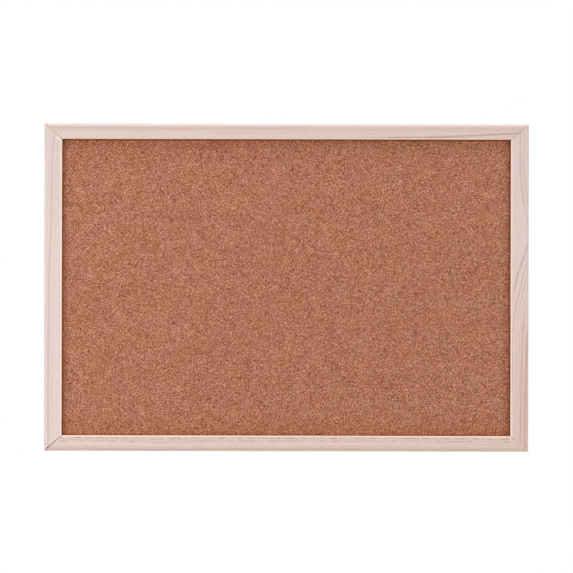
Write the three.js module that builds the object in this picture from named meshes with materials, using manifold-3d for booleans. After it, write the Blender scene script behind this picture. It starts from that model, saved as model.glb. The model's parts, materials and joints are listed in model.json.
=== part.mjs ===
// A framed cork notice board for a wall, about 58 by 39 cm.
// Four mitred pine mouldings hold a cork-faced panel in a rebate at the back.
// Steel points keep the panel in, V-nails join the mitres, and two strap hangers
// with swinging rings carry the board. Two rubber bumpers keep it upright on the wall.
// Millimetres, +Z up. The front faces -Y, and +X is to the right of someone facing it.
// The origin is on the wall, behind the middle of the board.

import * as THREE from "three";
import { mergeVertices } from "three/addons/utils/BufferGeometryUtils.js";
import Module from "manifold-3d";

const wasm = await Module();
wasm.setup();

// Overall size, over the frame's outer edges
const boardWidth = 580;
const boardHeight = 392;

// Frame moulding
const stileFace = 21.4; // width of the upright members, seen from the front
const railFace = 19.2; // width of the level members
const frameDepth = 19; // from the back to the highest point of the face
const frontRound = 4; // rounding of the front outer edge
const sightRound = 1.8; // rounding of the front inner edge
const backEase = 0.8; // small rounding of the back outer edge
const faceCrown = 0.35; // how far the middle of the face stands above its edges
const lipDepth = 5; // from the face's inner edge to the back of the lip
const rebateWidth = 6; // how far the panel lies behind the lip
const mitreGap = 0.3; // between the two members at a mitre

// Panel, from front to back
const corkThickness = 3;
const coreThickness = 6;
const backThickness = 2;
const panelPlay = 0.5; // from the panel's edge to the rebate's wall
const lipClearance = 0.2; // from the cork to the lip
const glueLine = 0.1; // between two layers

// Steel points that hold the panel in its rebate
const pointWidth = 6;
const pointThickness = 0.5;
const pointReach = 7.5; // over the panel
const pointBite = 5.5; // into the wood
const pointTipWidth = 2.6;
const pointTaper = 3.2; // length of the tapered end
const pointsPerRail = 4;
const pointsPerStile = 3;

// V-nails across the back of each mitre
const nailArm = 5;
const nailAngle = Math.PI / 4; // between an arm and the mitre
const nailThickness = 0.6;
const nailDepth = 10;
const nailSink = 0.4; // below the frame's back
const nailPlaceShares = [0.2, 0.56]; // along the mitre's back edge, from the outer corner

// Hanger straps, rolled round a ring at the upper end
const strapWidth = 9;
const strapThickness = 1;
const strapLength = 36; // from the ring's pin to the lower end
const rollGap = 0.3; // between the rolled end's tip and the strap
const hangerDrop = 90; // from the frame's top edge to the ring's pin
const screwMargin = 5; // from the lower screw to the strap's lower end
const ringScrewGap = 2.3; // from the hanging ring to the upper screw's head

// Hanger rings, bent from wire into a D
const wireRadius = 1;
const wireClearance = 0.3; // from the wire to the rolled strap
const ringSideClearance = 0.5; // from the strap's edge to the ring's leg
const ringLegLength = 7; // from the pin to the start of the round end
const ringCorner = 2; // bend of the wire's middle line beside the pin
const ringSplit = 0.4; // where the wire's two ends meet

// Pan-head screws
const screwLength = 12; // below the head
const shankRadius = 1.3;
const screwTip = 2.6;
const headRadius = 2.7;
const headRim = 0.8; // straight side of the head
const headHeight = 1.7;
const recessReach = 1.5; // from the head's middle to the end of a recess arm
const recessWidth = 0.7;
const recessDepth = 1;

// Rubber bumpers
const bumperRadius = 5.5;
const bumperFaceRadius = 4.9;
const bumperHeight = 5;
const bumperEdge = 0.6; // rounding round the face
const bumperRise = 30; // from the frame's lower edge to the bumper's middle

// Clearances that all pieces share
const fitGap = 0.3; // round a piece that is driven or screwed into wood
const seatGap = 0.1; // under a piece that lies on the frame's back
const overrun = 5; // how far a cutting shape goes past what it cuts

// Fineness of the curved surfaces
const roundSteps = 6;
const wireSides = 10;
const wireSteps = 48;
const turnedSides = 24;

const X = new THREE.Vector3(1, 0, 0);
const Y = new THREE.Vector3(0, 1, 0);
const Z = new THREE.Vector3(0, 0, 1);
const forward = Y.clone().negate();
const quarter = Math.PI / 2;

// Levels worked out from the sizes, each a distance forward from the frame's back
const faceEdge = frameDepth - faceCrown;
const lipBack = faceEdge - lipDepth;
const corkFront = lipBack - lipClearance;
const coreFront = corkFront - corkThickness - glueLine;
const backFront = coreFront - coreThickness - glueLine;
const panelBack = backFront - backThickness;

// The frame's back stands off the wall by the bumpers
const wallGap = bumperHeight + seatGap;

// A moulding's outline stretches with its face, so that it meets its neighbour at the mitre
const meanFace = (stileFace + railFace) / 2;
const share = (size) => size / meanFace;
const stileRebate = share(rebateWidth) * stileFace;
const railRebate = share(rebateWidth) * railFace;
const stileBack = stileFace - stileRebate;

const materials = {
  pine: { color: 0xe6cdb9, roughness: 0.62, metalness: 0 },
  cork: { color: 0xad745b, roughness: 0.9, metalness: 0 },
  softboard: { color: 0xb39b7c, roughness: 0.95, metalness: 0 },
  hardboard: { color: 0x7a5236, roughness: 0.7, metalness: 0 },
  steel: { color: 0xb9bbbd, roughness: 0.35, metalness: 1 },
  nickel: { color: 0xc7c4bf, roughness: 0.25, metalness: 1 },
  rubber: { color: 0x3a3a3c, roughness: 0.75, metalness: 0 },
};
for (const key of Object.keys(materials)) {
  materials[key] = new THREE.MeshStandardMaterial(materials[key]);
}

const board = new THREE.Group();
const frameBack = new THREE.Group();
frameBack.position.y = -wallGap;
board.add(frameBack);

// What each driven piece cuts out of the pieces that it goes through
const sockets = [];

function addPiece(parent, name, geometry, material, socket) {
  const mesh = new THREE.Mesh(geometry, material);
  mesh.name = name;
  parent.add(mesh);
  if (socket) {
    sockets.push({ owner: mesh, shape: socket });
  }
  return mesh;
}

// A closed surface as a solid that can be cut
function toSolid(geometry) {
  const bare = geometry.clone();
  bare.deleteAttribute("normal");
  bare.deleteAttribute("uv");
  const merged = mergeVertices(bare);
  const vertProperties = new Float32Array(merged.attributes.position.array);
  const triVerts = new Uint32Array(merged.index.array);
  return new wasm.Manifold(new wasm.Mesh({ numProp: 3, vertProperties, triVerts }));
}

function toGeometry(solid) {
  const { vertProperties, triVerts } = solid.getMesh();
  const geometry = new THREE.BufferGeometry();
  geometry.setAttribute("position", new THREE.BufferAttribute(vertProperties, 3));
  geometry.setIndex(new THREE.BufferAttribute(triVerts, 1));
  geometry.computeVertexNormals();
  return geometry;
}

// Cut the sockets of other pieces out of a mesh, wherever the two stand in the board
function cutSockets(mesh, chosen) {
  mesh.updateWorldMatrix(true, false);
  const toMesh = mesh.matrixWorld.clone().invert();
  let solid = toSolid(mesh.geometry);
  for (const { owner, shape } of chosen) {
    owner.updateWorldMatrix(true, false);
    const place = toMesh.clone().multiply(owner.matrixWorld);
    solid = solid.subtract(toSolid(shape.clone().applyMatrix4(place)));
  }
  mesh.geometry = toGeometry(solid);
}

// An outline in the plane of two axes, swept straight along the axis square to them
function sweep(points, across, up, length) {
  const options = { depth: length, bevelEnabled: false };
  const geometry = new THREE.ExtrudeGeometry(new THREE.Shape(points), options);
  const along = across.clone().cross(up);
  return geometry.applyMatrix4(new THREE.Matrix4().makeBasis(across, up, along));
}

function arcPoints(middle, radii, from, to) {
  const points = [];
  for (let step = 0; step <= roundSteps; step++) {
    const angle = THREE.MathUtils.lerp(from, to, step / roundSteps);
    const offset = new THREE.Vector2(Math.cos(angle), Math.sin(angle)).multiply(radii);
    points.push(offset.add(middle));
  }
  return points;
}

// The moulding's cross-section: across the face from the outer edge, and forward from the back
function mouldingOutline(face) {
  const ease = new THREE.Vector2(share(backEase) * face, backEase);
  const front = new THREE.Vector2(share(frontRound) * face, frontRound);
  const sight = new THREE.Vector2(share(sightRound) * face, sightRound);
  const rebateWall = face - share(rebateWidth) * face;
  const crownStart = new THREE.Vector2(front.x, faceEdge);
  const crownEnd = new THREE.Vector2(face - sight.x, faceEdge);
  const crownTop = crownStart.clone().lerp(crownEnd, 1 / 2);
  crownTop.y += 2 * faceCrown;
  const crown = new THREE.QuadraticBezierCurve(crownEnd, crownTop, crownStart);
  return [
    new THREE.Vector2(rebateWall, 0),
    new THREE.Vector2(rebateWall, lipBack),
    new THREE.Vector2(face, lipBack),
    ...arcPoints(new THREE.Vector2(face, faceEdge).sub(sight), sight, 0, quarter),
    ...crown.getPoints(roundSteps).slice(1, -1),
    ...arcPoints(new THREE.Vector2(front.x, faceEdge - front.y), front, quarter, Math.PI),
    ...arcPoints(ease.clone(), ease, Math.PI, 3 * quarter),
  ];
}

// The four sides of the frame. Each is drawn as the lower side and turned into place.
const sides = [
  {
    member: "bottom_rail",
    edge: "bottom",
    corner: "lower_left",
    turn: 0,
    run: boardWidth,
    rise: boardHeight,
    face: railFace,
    nextFace: stileFace,
    points: pointsPerRail,
  },
  {
    member: "left_stile",
    edge: "left",
    corner: "upper_left",
    turn: quarter,
    run: boardHeight,
    rise: boardWidth,
    face: stileFace,
    nextFace: railFace,
    points: pointsPerStile,
  },
  {
    member: "top_rail",
    edge: "top",
    corner: "upper_right",
    turn: 2 * quarter,
    run: boardWidth,
    rise: boardHeight,
    face: railFace,
    nextFace: stileFace,
    points: pointsPerRail,
  },
  {
    member: "right_stile",
    edge: "right",
    corner: "lower_right",
    turn: 3 * quarter,
    run: boardHeight,
    rise: boardWidth,
    face: stileFace,
    nextFace: railFace,
    points: pointsPerStile,
  },
];

// A member: the moulding's outline swept along its side, and cut along the line
// from the outer corner to the inner corner at both ends
function mouldingGeometry({ run, rise, face, nextFace }) {
  const outline = mouldingOutline(face);
  const blank = sweep(outline, Z, forward, run).translate(-run / 2, 0, -rise / 2);
  const slope = nextFace / face;
  const gapShift = ((mitreGap / 2) * Math.hypot(face, nextFace)) / face;
  const halfAt = (height) => run / 2 - gapShift - slope * height;
  const low = -overrun;
  const high = face + overrun;
  const wedge = [
    new THREE.Vector2(-halfAt(low), low),
    new THREE.Vector2(halfAt(low), low),
    new THREE.Vector2(halfAt(high), high),
    new THREE.Vector2(-halfAt(high), high),
  ];
  const cutter = sweep(wedge, X, Z, frameDepth + 2 * overrun);
  cutter.translate(0, overrun, -rise / 2);
  return toGeometry(toSolid(blank).intersect(toSolid(cutter)));
}

function vNailGeometry(grow) {
  const arm = new THREE.Vector2(Math.cos(nailAngle), Math.sin(nailAngle));
  const half = nailThickness / 2 + grow;
  const end = arm.clone().multiplyScalar(nailArm + grow);
  const side = new THREE.Vector2(-arm.y, arm.x).multiplyScalar(half);
  const apex = half / arm.y;
  const outer = end.clone().add(side);
  const inner = end.clone().sub(side);
  const outline = [
    new THREE.Vector2(-apex, 0),
    new THREE.Vector2(outer.x, -outer.y),
    new THREE.Vector2(inner.x, -inner.y),
    new THREE.Vector2(apex, 0),
    inner,
    outer,
  ];
  return sweep(outline, X, Z, nailDepth + grow);
}

// A nail's socket is open at the frame's back, so that the nail can be driven in
function vNailSocket() {
  const hole = vNailGeometry(fitGap);
  const mouth = hole.clone().translate(0, nailSink + fitGap, 0);
  return toGeometry(toSolid(hole).add(toSolid(mouth)));
}

function panelPointGeometry(grow) {
  const half = pointWidth / 2 + grow;
  const tipHalf = pointTipWidth / 2 + grow;
  const outline = [
    new THREE.Vector2(-tipHalf, -pointBite - grow),
    new THREE.Vector2(tipHalf, -pointBite - grow),
    new THREE.Vector2(half, pointTaper - pointBite),
    new THREE.Vector2(half, pointReach),
    new THREE.Vector2(-half, pointReach),
    new THREE.Vector2(-half, pointTaper - pointBite),
  ];
  return sweep(outline, X, Z, pointThickness + 2 * grow).translate(0, grow, 0);
}

function addSide(side) {
  const group = new THREE.Group();
  group.rotation.y = side.turn;
  frameBack.add(group);
  addPiece(group, side.member, mouldingGeometry(side), materials.pine);

  // V-nails across the mitre at this side's left end
  const mitre = new THREE.Vector2(side.nextFace, side.face);
  const mitreBackLength = mitre.length() * (1 - share(rebateWidth));
  const along = mitre.clone().normalize();
  nailPlaceShares.forEach((place, index) => {
    const spot = along.clone().multiplyScalar(place * mitreBackLength);
    const name = `v_nail_${side.corner}_${index + 1}`;
    const nail = addPiece(group, name, vNailGeometry(0), materials.steel, vNailSocket());
    nail.position.set(spot.x - side.run / 2, -nailSink, spot.y - side.rise / 2);
    nail.rotation.y = -mitre.angle();
  });

  // Points driven into the rebate's wall, lying on the back of the panel
  const rebateWall = side.face - share(rebateWidth) * side.face;
  const spacing = (side.run - 2 * side.nextFace) / side.points;
  for (let index = 0; index < side.points; index++) {
    const name = `panel_point_${side.edge}_${index + 1}`;
    const socket = panelPointGeometry(fitGap);
    const point = addPiece(group, name, panelPointGeometry(0), materials.steel, socket);
    const place = (index - (side.points - 1) / 2) * spacing;
    point.position.set(place, fitGap - panelBack + pointThickness, rebateWall - side.rise / 2);
  }
}

function addPanel() {
  const width = boardWidth - 2 * (stileBack + panelPlay);
  const height = boardHeight - 2 * (railFace - railRebate + panelPlay);
  const layers = [
    { name: "cork_sheet", front: corkFront, thickness: corkThickness, finish: "cork" },
    { name: "softboard_core", front: coreFront, thickness: coreThickness, finish: "softboard" },
    { name: "hardboard_back", front: backFront, thickness: backThickness, finish: "hardboard" },
  ];
  for (const { name, front, thickness, finish } of layers) {
    const layer = new THREE.BoxGeometry(width, thickness, height);
    const mesh = addPiece(frameBack, name, layer, materials[finish]);
    mesh.position.y = thickness / 2 - front;
  }
}

// The strap's upper end is rolled round the ring's wire
const rollBore = wireRadius + wireClearance;
const rollRadius = rollBore + strapThickness;

// A strap seen from its side, and the same strap seen from behind
function strapGeometry() {
  const middle = new THREE.Vector2(rollRadius, 0);
  const tip = -Math.acos((strapThickness + rollGap - rollRadius) / rollRadius);
  const outerRadii = new THREE.Vector2(rollRadius, rollRadius);
  const innerRadii = new THREE.Vector2(rollBore, rollBore);
  const wrapped = (from, to, radii) => [
    ...arcPoints(middle, radii, from, (from + to) / 2),
    ...arcPoints(middle, radii, (from + to) / 2, to).slice(1),
  ];
  const sideOutline = [
    new THREE.Vector2(0, -strapLength),
    new THREE.Vector2(strapThickness, -strapLength),
    ...wrapped(Math.PI, tip, innerRadii),
    ...wrapped(tip, Math.PI, outerRadii),
  ];
  const half = strapWidth / 2;
  const endMiddle = new THREE.Vector2(0, half - strapLength);
  const endRadii = new THREE.Vector2(half, half);
  const backOutline = [
    new THREE.Vector2(half, rollRadius + overrun),
    new THREE.Vector2(-half, rollRadius + overrun),
    ...arcPoints(endMiddle, endRadii, -Math.PI, 0),
  ];
  const strip = sweep(sideOutline, Y, Z, strapWidth + 2 * overrun);
  strip.translate(-half - overrun, 0, 0);
  const trim = sweep(backOutline, X, Z, 2 * rollRadius + 2 * overrun);
  trim.translate(0, 2 * rollRadius + overrun, 0);
  return toGeometry(toSolid(strip).intersect(toSolid(trim)));
}

// A flat path stood upright, for the wire to follow
class UprightPath extends THREE.Curve {
  constructor(path) {
    super();
    this.path = path;
  }

  getPoint(t, target = new THREE.Vector3()) {
    const spot = this.path.getPoint(t);
    return target.set(spot.x, 0, spot.y);
  }
}

const ringHalfWidth = strapWidth / 2 + ringSideClearance + wireRadius;

// The wire's ends meet inside the rolled strap, where a real ring is left unwelded
function ringGeometry() {
  const half = ringHalfWidth;
  const bend = ringCorner;
  const path = new THREE.Path();
  path.moveTo(ringSplit / 2, 0);
  path.lineTo(half - bend, 0);
  path.absarc(half - bend, -bend, bend, quarter, 0, true);
  path.lineTo(half, -ringLegLength);
  path.absarc(0, -ringLegLength, half, 0, Math.PI, true);
  path.lineTo(-half, -bend);
  path.absarc(bend - half, -bend, bend, Math.PI, quarter, true);
  path.lineTo(-ringSplit / 2, 0);
  const section = [];
  for (let side = 0; side < wireSides; side++) {
    const angle = (side / wireSides) * 4 * quarter;
    section.push(new THREE.Vector2(Math.cos(angle), Math.sin(angle)).multiplyScalar(wireRadius));
  }
  const options = { steps: wireSteps, extrudePath: new UprightPath(path) };
  return new THREE.ExtrudeGeometry(new THREE.Shape(section), options);
}

function screwGeometry() {
  const rimRadii = new THREE.Vector2(headRadius, headHeight - headRim);
  const profile = [
    new THREE.Vector2(0, -screwLength),
    new THREE.Vector2(shankRadius, screwTip - screwLength),
    new THREE.Vector2(shankRadius, 0),
    new THREE.Vector2(headRadius, 0),
    ...arcPoints(new THREE.Vector2(0, headRim), rimRadii, 0, quarter),
  ];
  profile.at(-1).x = 0;
  const turned = new THREE.LatheGeometry(profile, turnedSides);
  const half = recessWidth / 2;
  const cross = [];
  for (let arm = 0; arm < 4; arm++) {
    for (const [reach, offset] of [[half, -half], [recessReach, -half], [recessReach, half]]) {
      cross.push(new THREE.Vector2(reach, offset).rotateAround(new THREE.Vector2(), arm * quarter));
    }
  }
  const recess = sweep(cross, X, Z, recessDepth + overrun);
  recess.translate(0, headHeight + overrun, 0);
  return toGeometry(toSolid(turned).subtract(toSolid(recess)));
}

function pilotHole() {
  const reach = screwLength + fitGap;
  const hole = new THREE.CylinderGeometry(shankRadius + fitGap, shankRadius + fitGap, reach, turnedSides);
  return hole.translate(0, -reach / 2, 0);
}

function addHanger(hand, sign) {
  const group = new THREE.Group();
  group.position.x = sign * (boardWidth / 2 - stileBack / 2);
  group.position.y = seatGap;
  group.position.z = boardHeight / 2 - hangerDrop;
  frameBack.add(group);

  const strap = addPiece(group, `${hand}_hanger_strap`, strapGeometry(), materials.nickel);
  const ring = addPiece(group, `${hand}_hanger_ring`, ringGeometry(), materials.nickel);
  ring.position.y = rollRadius;

  const ringReach = ringLegLength + ringHalfWidth + wireRadius;
  const screwDrops = {
    upper: ringReach + ringScrewGap + headRadius,
    lower: strapLength - screwMargin,
  };
  for (const [place, drop] of Object.entries(screwDrops)) {
    const name = `${hand}_hanger_${place}_screw`;
    const screw = addPiece(group, name, screwGeometry(), materials.steel, pilotHole());
    screw.position.set(0, strapThickness + seatGap, -drop);
    cutSockets(strap, [sockets.at(-1)]);
  }
}

function addBumper(hand, sign) {
  const edge = bumperEdge;
  const top = arcPoints(
    new THREE.Vector2(bumperFaceRadius - edge, bumperHeight - edge),
    new THREE.Vector2(edge, edge),
    0,
    quarter,
  );
  const profile = [
    new THREE.Vector2(0, 0),
    new THREE.Vector2(bumperRadius, 0),
    ...top,
    new THREE.Vector2(0, bumperHeight),
  ];
  const turned = new THREE.LatheGeometry(profile, turnedSides);
  const bumper = addPiece(frameBack, `${hand}_bumper`, turned, materials.rubber);
  bumper.position.x = sign * (boardWidth / 2 - stileBack / 2);
  bumper.position.y = seatGap;
  bumper.position.z = bumperRise - boardHeight / 2;
}

sides.forEach(addSide);
addPanel();
for (const [hand, sign] of [["left", -1], ["right", 1]]) {
  addHanger(hand, sign);
  addBumper(hand, sign);
}

// The members give way to every nail, point and screw that is driven into them
for (const { member } of sides) {
  cutSockets(board.getObjectByName(member), sockets);
}

export default board;
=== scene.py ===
"""The finished look of a framed cork notice board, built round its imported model.

Four mitred pine mouldings hold a cork sheet on a softboard core, closed behind by hardboard.
Steel points keep the panel in, V-nails join the mitres, and two strap hangers with swinging
rings carry the board on the wall, where two rubber bumpers keep it upright.
Metres, with +Z up. The cork faces -Y, and the wall is at Y = 0.
"""

import itertools
import json
import logging
import math
from collections.abc import Mapping, Sequence
from dataclasses import dataclass, field
from enum import Enum

import bmesh
import bpy
from mathutils import Euler, Matrix, Vector


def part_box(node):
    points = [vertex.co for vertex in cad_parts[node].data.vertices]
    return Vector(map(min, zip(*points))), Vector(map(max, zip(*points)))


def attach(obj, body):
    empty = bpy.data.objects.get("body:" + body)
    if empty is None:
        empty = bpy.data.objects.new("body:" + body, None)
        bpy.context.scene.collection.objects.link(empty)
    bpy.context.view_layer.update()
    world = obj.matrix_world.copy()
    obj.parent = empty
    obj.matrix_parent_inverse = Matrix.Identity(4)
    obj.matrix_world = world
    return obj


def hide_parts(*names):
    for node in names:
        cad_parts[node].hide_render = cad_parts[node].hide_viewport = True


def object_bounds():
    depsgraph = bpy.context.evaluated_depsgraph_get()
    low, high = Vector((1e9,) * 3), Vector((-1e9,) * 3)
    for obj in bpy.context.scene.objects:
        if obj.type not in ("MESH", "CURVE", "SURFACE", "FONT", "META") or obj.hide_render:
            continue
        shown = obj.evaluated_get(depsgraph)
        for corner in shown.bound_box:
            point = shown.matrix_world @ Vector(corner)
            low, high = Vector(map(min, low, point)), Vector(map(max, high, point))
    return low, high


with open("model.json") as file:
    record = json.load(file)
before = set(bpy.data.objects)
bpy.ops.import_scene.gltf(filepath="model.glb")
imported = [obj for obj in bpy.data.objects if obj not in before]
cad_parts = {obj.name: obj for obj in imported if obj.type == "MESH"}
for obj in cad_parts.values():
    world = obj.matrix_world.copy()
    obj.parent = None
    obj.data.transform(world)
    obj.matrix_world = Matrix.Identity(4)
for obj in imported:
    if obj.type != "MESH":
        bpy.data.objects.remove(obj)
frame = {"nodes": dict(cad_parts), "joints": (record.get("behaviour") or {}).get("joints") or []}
cad_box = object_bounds()

log = logging.getLogger("cork_board")

MM = 0.001
PER_MM = 1 / MM
TURN = 2 * math.pi
QUARTER = TURN / 4

# The middle of a share from 0 to 1, which is also about the mean of a noise
HALF = 0.5

# The angle past which an edge of a piece stays sharp
CREASE = math.radians(32)

HANDS = ("left", "right")
LEVELS = ("upper", "lower")

Triple = tuple[float, float, float]
Colour = Triple
Span = tuple[float, float]
Numbers = tuple[float, ...]
Stops = Sequence[tuple[float, Colour | float]]

# As a tint, this leaves a colour as it is
WHITE: Colour = (1, 1, 1)


class Body(Enum):
    """The bodies that pieces ride on."""

    BOARD = "board"
    LEFT_RING = "left_ring"
    RIGHT_RING = "right_ring"


class Slot(Enum):
    """The record's material slots."""

    PINE = "pine"
    CORK = "cork"
    SOFTBOARD = "softboard"
    HARDBOARD = "hardboard"
    STEEL = "steel"
    NICKEL = "nickel"
    RUBBER = "rubber"


class Side(Enum):
    """The sides of the frame, counted in quarter turns from the lower one."""

    BOTTOM = 0
    LEFT = 1
    TOP = 2
    RIGHT = 3

    @property
    def upright(self) -> bool:
        """Whether the side's moulding is a stile."""
        return self in (Side.LEFT, Side.RIGHT)

    @property
    def node(self) -> str:
        """The name of the side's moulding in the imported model."""
        return f"{self.name.lower()}_{'stile' if self.upright else 'rail'}"

    @property
    def turn(self) -> float:
        """The angle about Y from the lower side to this one."""
        return self.value * QUARTER

    @property
    def next(self) -> "Side":
        """The side that follows."""
        return Side((self.value + 1) % len(Side))


# How much wider a finished moulding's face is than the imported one's
WIDER = {Side.LEFT: 0.32 * MM, Side.TOP: -0.25 * MM, Side.RIGHT: 0.7 * MM}


class Wire:
    """An output of a node, on which Python's operators add Math and Vector Math nodes."""

    def __init__(self, graph: "Graph", socket: bpy.types.NodeSocket | None) -> None:
        """Keeps the tree and the output."""
        self.graph = graph
        self.socket = socket

    def fellow(self, name: str) -> "Wire":
        """Another output of the same node."""
        return Wire(self.graph, find_socket(self.socket.node.outputs, name))

    def parts(self) -> "list[Wire]":
        """The X, Y and Z of a vector."""
        split = self.graph.add("ShaderNodeSeparateXYZ", inputs={"Vector": self})
        return [split.fellow(axis) for axis in "XYZ"]

    def __add__(self, other: "Value") -> "Wire":
        """The sum."""
        return self.graph.reckon("ADD", self, other)

    def __radd__(self, other: "Value") -> "Wire":
        """The sum, with the wire last."""
        return self.graph.reckon("ADD", other, self)

    def __sub__(self, other: "Value") -> "Wire":
        """The difference."""
        return self.graph.reckon("SUBTRACT", self, other)

    def __rsub__(self, other: "Value") -> "Wire":
        """The difference, with the wire last."""
        return self.graph.reckon("SUBTRACT", other, self)

    def __mul__(self, other: "Value") -> "Wire":
        """The product."""
        return self.graph.reckon("MULTIPLY", self, other)

    def __rmul__(self, other: "Value") -> "Wire":
        """The product, with the wire last."""
        return self.graph.reckon("MULTIPLY", other, self)

    def __truediv__(self, other: "Value") -> "Wire":
        """The quotient."""
        return self.graph.reckon("DIVIDE", self, other)

    def __pow__(self, other: "Value") -> "Wire":
        """The power."""
        return self.graph.reckon("POWER", self, other)

    def __neg__(self) -> "Wire":
        """The negative."""
        return self.graph.reckon("MULTIPLY", self, -1)

    def __abs__(self) -> "Wire":
        """The absolute value."""
        return self.graph.reckon("ABSOLUTE", self)


Value = Wire | float | tuple | Vector


def find_socket(sockets: Sequence[bpy.types.NodeSocket], key: str | int | None) -> bpy.types.NodeSocket:
    """Finds one of a node's sockets.

    Args:
        sockets: The node's inputs or outputs.
        key: Its identifier, name or number, or None for the first that is in use.

    Returns:
        The socket.
    """
    if isinstance(key, int):
        return sockets[key]
    for socket in sockets:
        if socket.identifier == key:
            return socket
    return next(s for s in sockets if s.enabled and key in (None, s.name))


def is_vector(value: Value) -> bool:
    """Whether a value has three parts.

    Args:
        value: A wire, a number, or a plain colour or vector.

    Returns:
        True for a colour or a vector.
    """
    if isinstance(value, Wire):
        return value.socket.type in ("VECTOR", "RGBA")
    return isinstance(value, (tuple, Vector))


def tone(red: int, green: int, blue: int) -> Colour:
    """Turns a colour as it is seen on a screen into the linear one that shaders take.

    Args:
        red: From 0 to 255.
        green: From 0 to 255.
        blue: From 0 to 255.

    Returns:
        The three linear parts, from 0 to 1.
    """
    full, knee, slope, shift, power = 255, 0.04045, 12.92, 0.055, 2.4
    shares = [part / full for part in (red, green, blue)]
    return tuple(c / slope if c <= knee else ((c + shift) / (1 + shift)) ** power for c in shares)


@dataclass(frozen=True)
class Noise:
    """Smooth noise, by the size of its largest blotches, the finer layers in it and their strength.

    Its pace is how fast it changes along each axis. It is drawn out along a slow one.
    """

    size: float = 1
    detail: float = 2
    rough: float = 0.5
    pace: Triple | None = None


class Graph:
    """A node tree that is built one node at a time."""

    def __init__(self, tree: bpy.types.NodeTree) -> None:
        """Keeps the tree that nodes are added to."""
        self.tree = tree

    def add(
        self,
        kind: str,
        settings: Mapping[str, object] | None = None,
        inputs: Mapping[str | int, object] | None = None,
        output: str | int | None = None,
    ) -> Wire:
        """Adds a node.

        Args:
            kind: The node's type.
            settings: The node's own properties, and as "stops" a ramp's places and colours.
            inputs: The values or wires of its inputs, by identifier, name or number.
            output: The output that is wanted, or None for the first in use.

        Returns:
            The wanted output.
        """
        node = self.tree.nodes.new(kind)
        for name, value in (settings or {}).items():
            if name == "stops":
                self._set_stops(node.color_ramp, value)
            else:
                setattr(node, name, value)
        for key, value in (inputs or {}).items():
            socket = find_socket(node.inputs, key)
            if isinstance(value, Wire):
                self.tree.links.new(value.socket, socket)
            elif socket.type == "RGBA":
                socket.default_value = (*value, 1)
            else:
                socket.default_value = value
        return Wire(self, find_socket(node.outputs, output) if node.outputs else None)

    @staticmethod
    def _set_stops(ramp: bpy.types.ColorRamp, stops: Stops) -> None:
        """Gives a ramp its places and colours.

        Args:
            ramp: The ramp, which starts with two stops.
            stops: Each stop's place, and its colour or its grey value. Greys run on a smooth curve.
        """
        while len(ramp.elements) < len(stops):
            ramp.elements.new(1)
        for element, (place, colour) in zip(ramp.elements, stops):
            element.position = place
            element.color = (*(colour if is_vector(colour) else (colour,) * 3), 1)
            ramp.interpolation = "LINEAR" if is_vector(colour) else "B_SPLINE"

    def reckon(self, operation: str, *values: Value) -> Wire:
        """Adds a Math node, or a Vector Math node where a value is a vector.

        Args:
            operation: The node's operation.
            values: Its values, in order.

        Returns:
            The result.
        """
        vectors = [value for value in values if is_vector(value)]
        if not vectors:
            return self.add("ShaderNodeMath", {"operation": operation}, dict(enumerate(values)))
        if operation == "MULTIPLY" and len(vectors) == 1:
            scale = next(value for value in values if not is_vector(value))
            inputs = {"Vector": vectors[0], "Scale": scale}
            return self.add("ShaderNodeVectorMath", {"operation": "SCALE"}, inputs)
        return self.add("ShaderNodeVectorMath", {"operation": operation}, dict(enumerate(values)))

    def vector(self, x: Value, y: Value, z: Value) -> Wire:
        """A vector from its three parts."""
        return self.add("ShaderNodeCombineXYZ", inputs={"X": x, "Y": y, "Z": z})

    def noise(self, place: Wire, kind: Noise) -> Wire:
        """Adds smooth noise round a half.

        Args:
            place: Where it is read.
            kind: The noise's sizes, in the units of the place.

        Returns:
            The noise, from about 0.2 to 0.8.
        """
        spot = place * kind.pace if kind.pace else place
        inputs = {"Vector": spot, "Scale": 1 / kind.size, "Detail": kind.detail, "Roughness": kind.rough}
        return self.add("ShaderNodeTexNoise", inputs=inputs)

    def cells(self, place: Wire, size: float, feature: str = "F1") -> Wire:
        """Adds a pattern of cells, with a distance and a random colour for each.

        Args:
            place: Where it is read.
            size: The size of a cell, in the units of the place.
            feature: F1, or DISTANCE_TO_EDGE for the distance to the nearest border.

        Returns:
            The distance, in cells.
        """
        inputs = {"Vector": place, "Scale": 1 / size}
        return self.add("ShaderNodeTexVoronoi", {"feature": feature}, inputs, "Distance")

    def step(self, value: Value, span: Span) -> Wire:
        """Adds a smooth step.

        Args:
            value: What is stepped.
            span: Where the step starts from 0, and where it reaches 1.

        Returns:
            A value from 0 to 1.
        """
        inputs = {"Value": value, "From Min": span[0], "From Max": span[1]}
        return self.add("ShaderNodeMapRange", {"interpolation_type": "SMOOTHSTEP"}, inputs)

    @staticmethod
    def total(parts: Sequence[Wire], shares: Numbers) -> Wire:
        """Adds up values, each with its own weight.

        Args:
            parts: The values.
            shares: The weight of each.

        Returns:
            The sum.
        """
        weighted = [part * share for part, share in zip(parts, shares)]
        return sum(weighted[1:], weighted[0])


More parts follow.
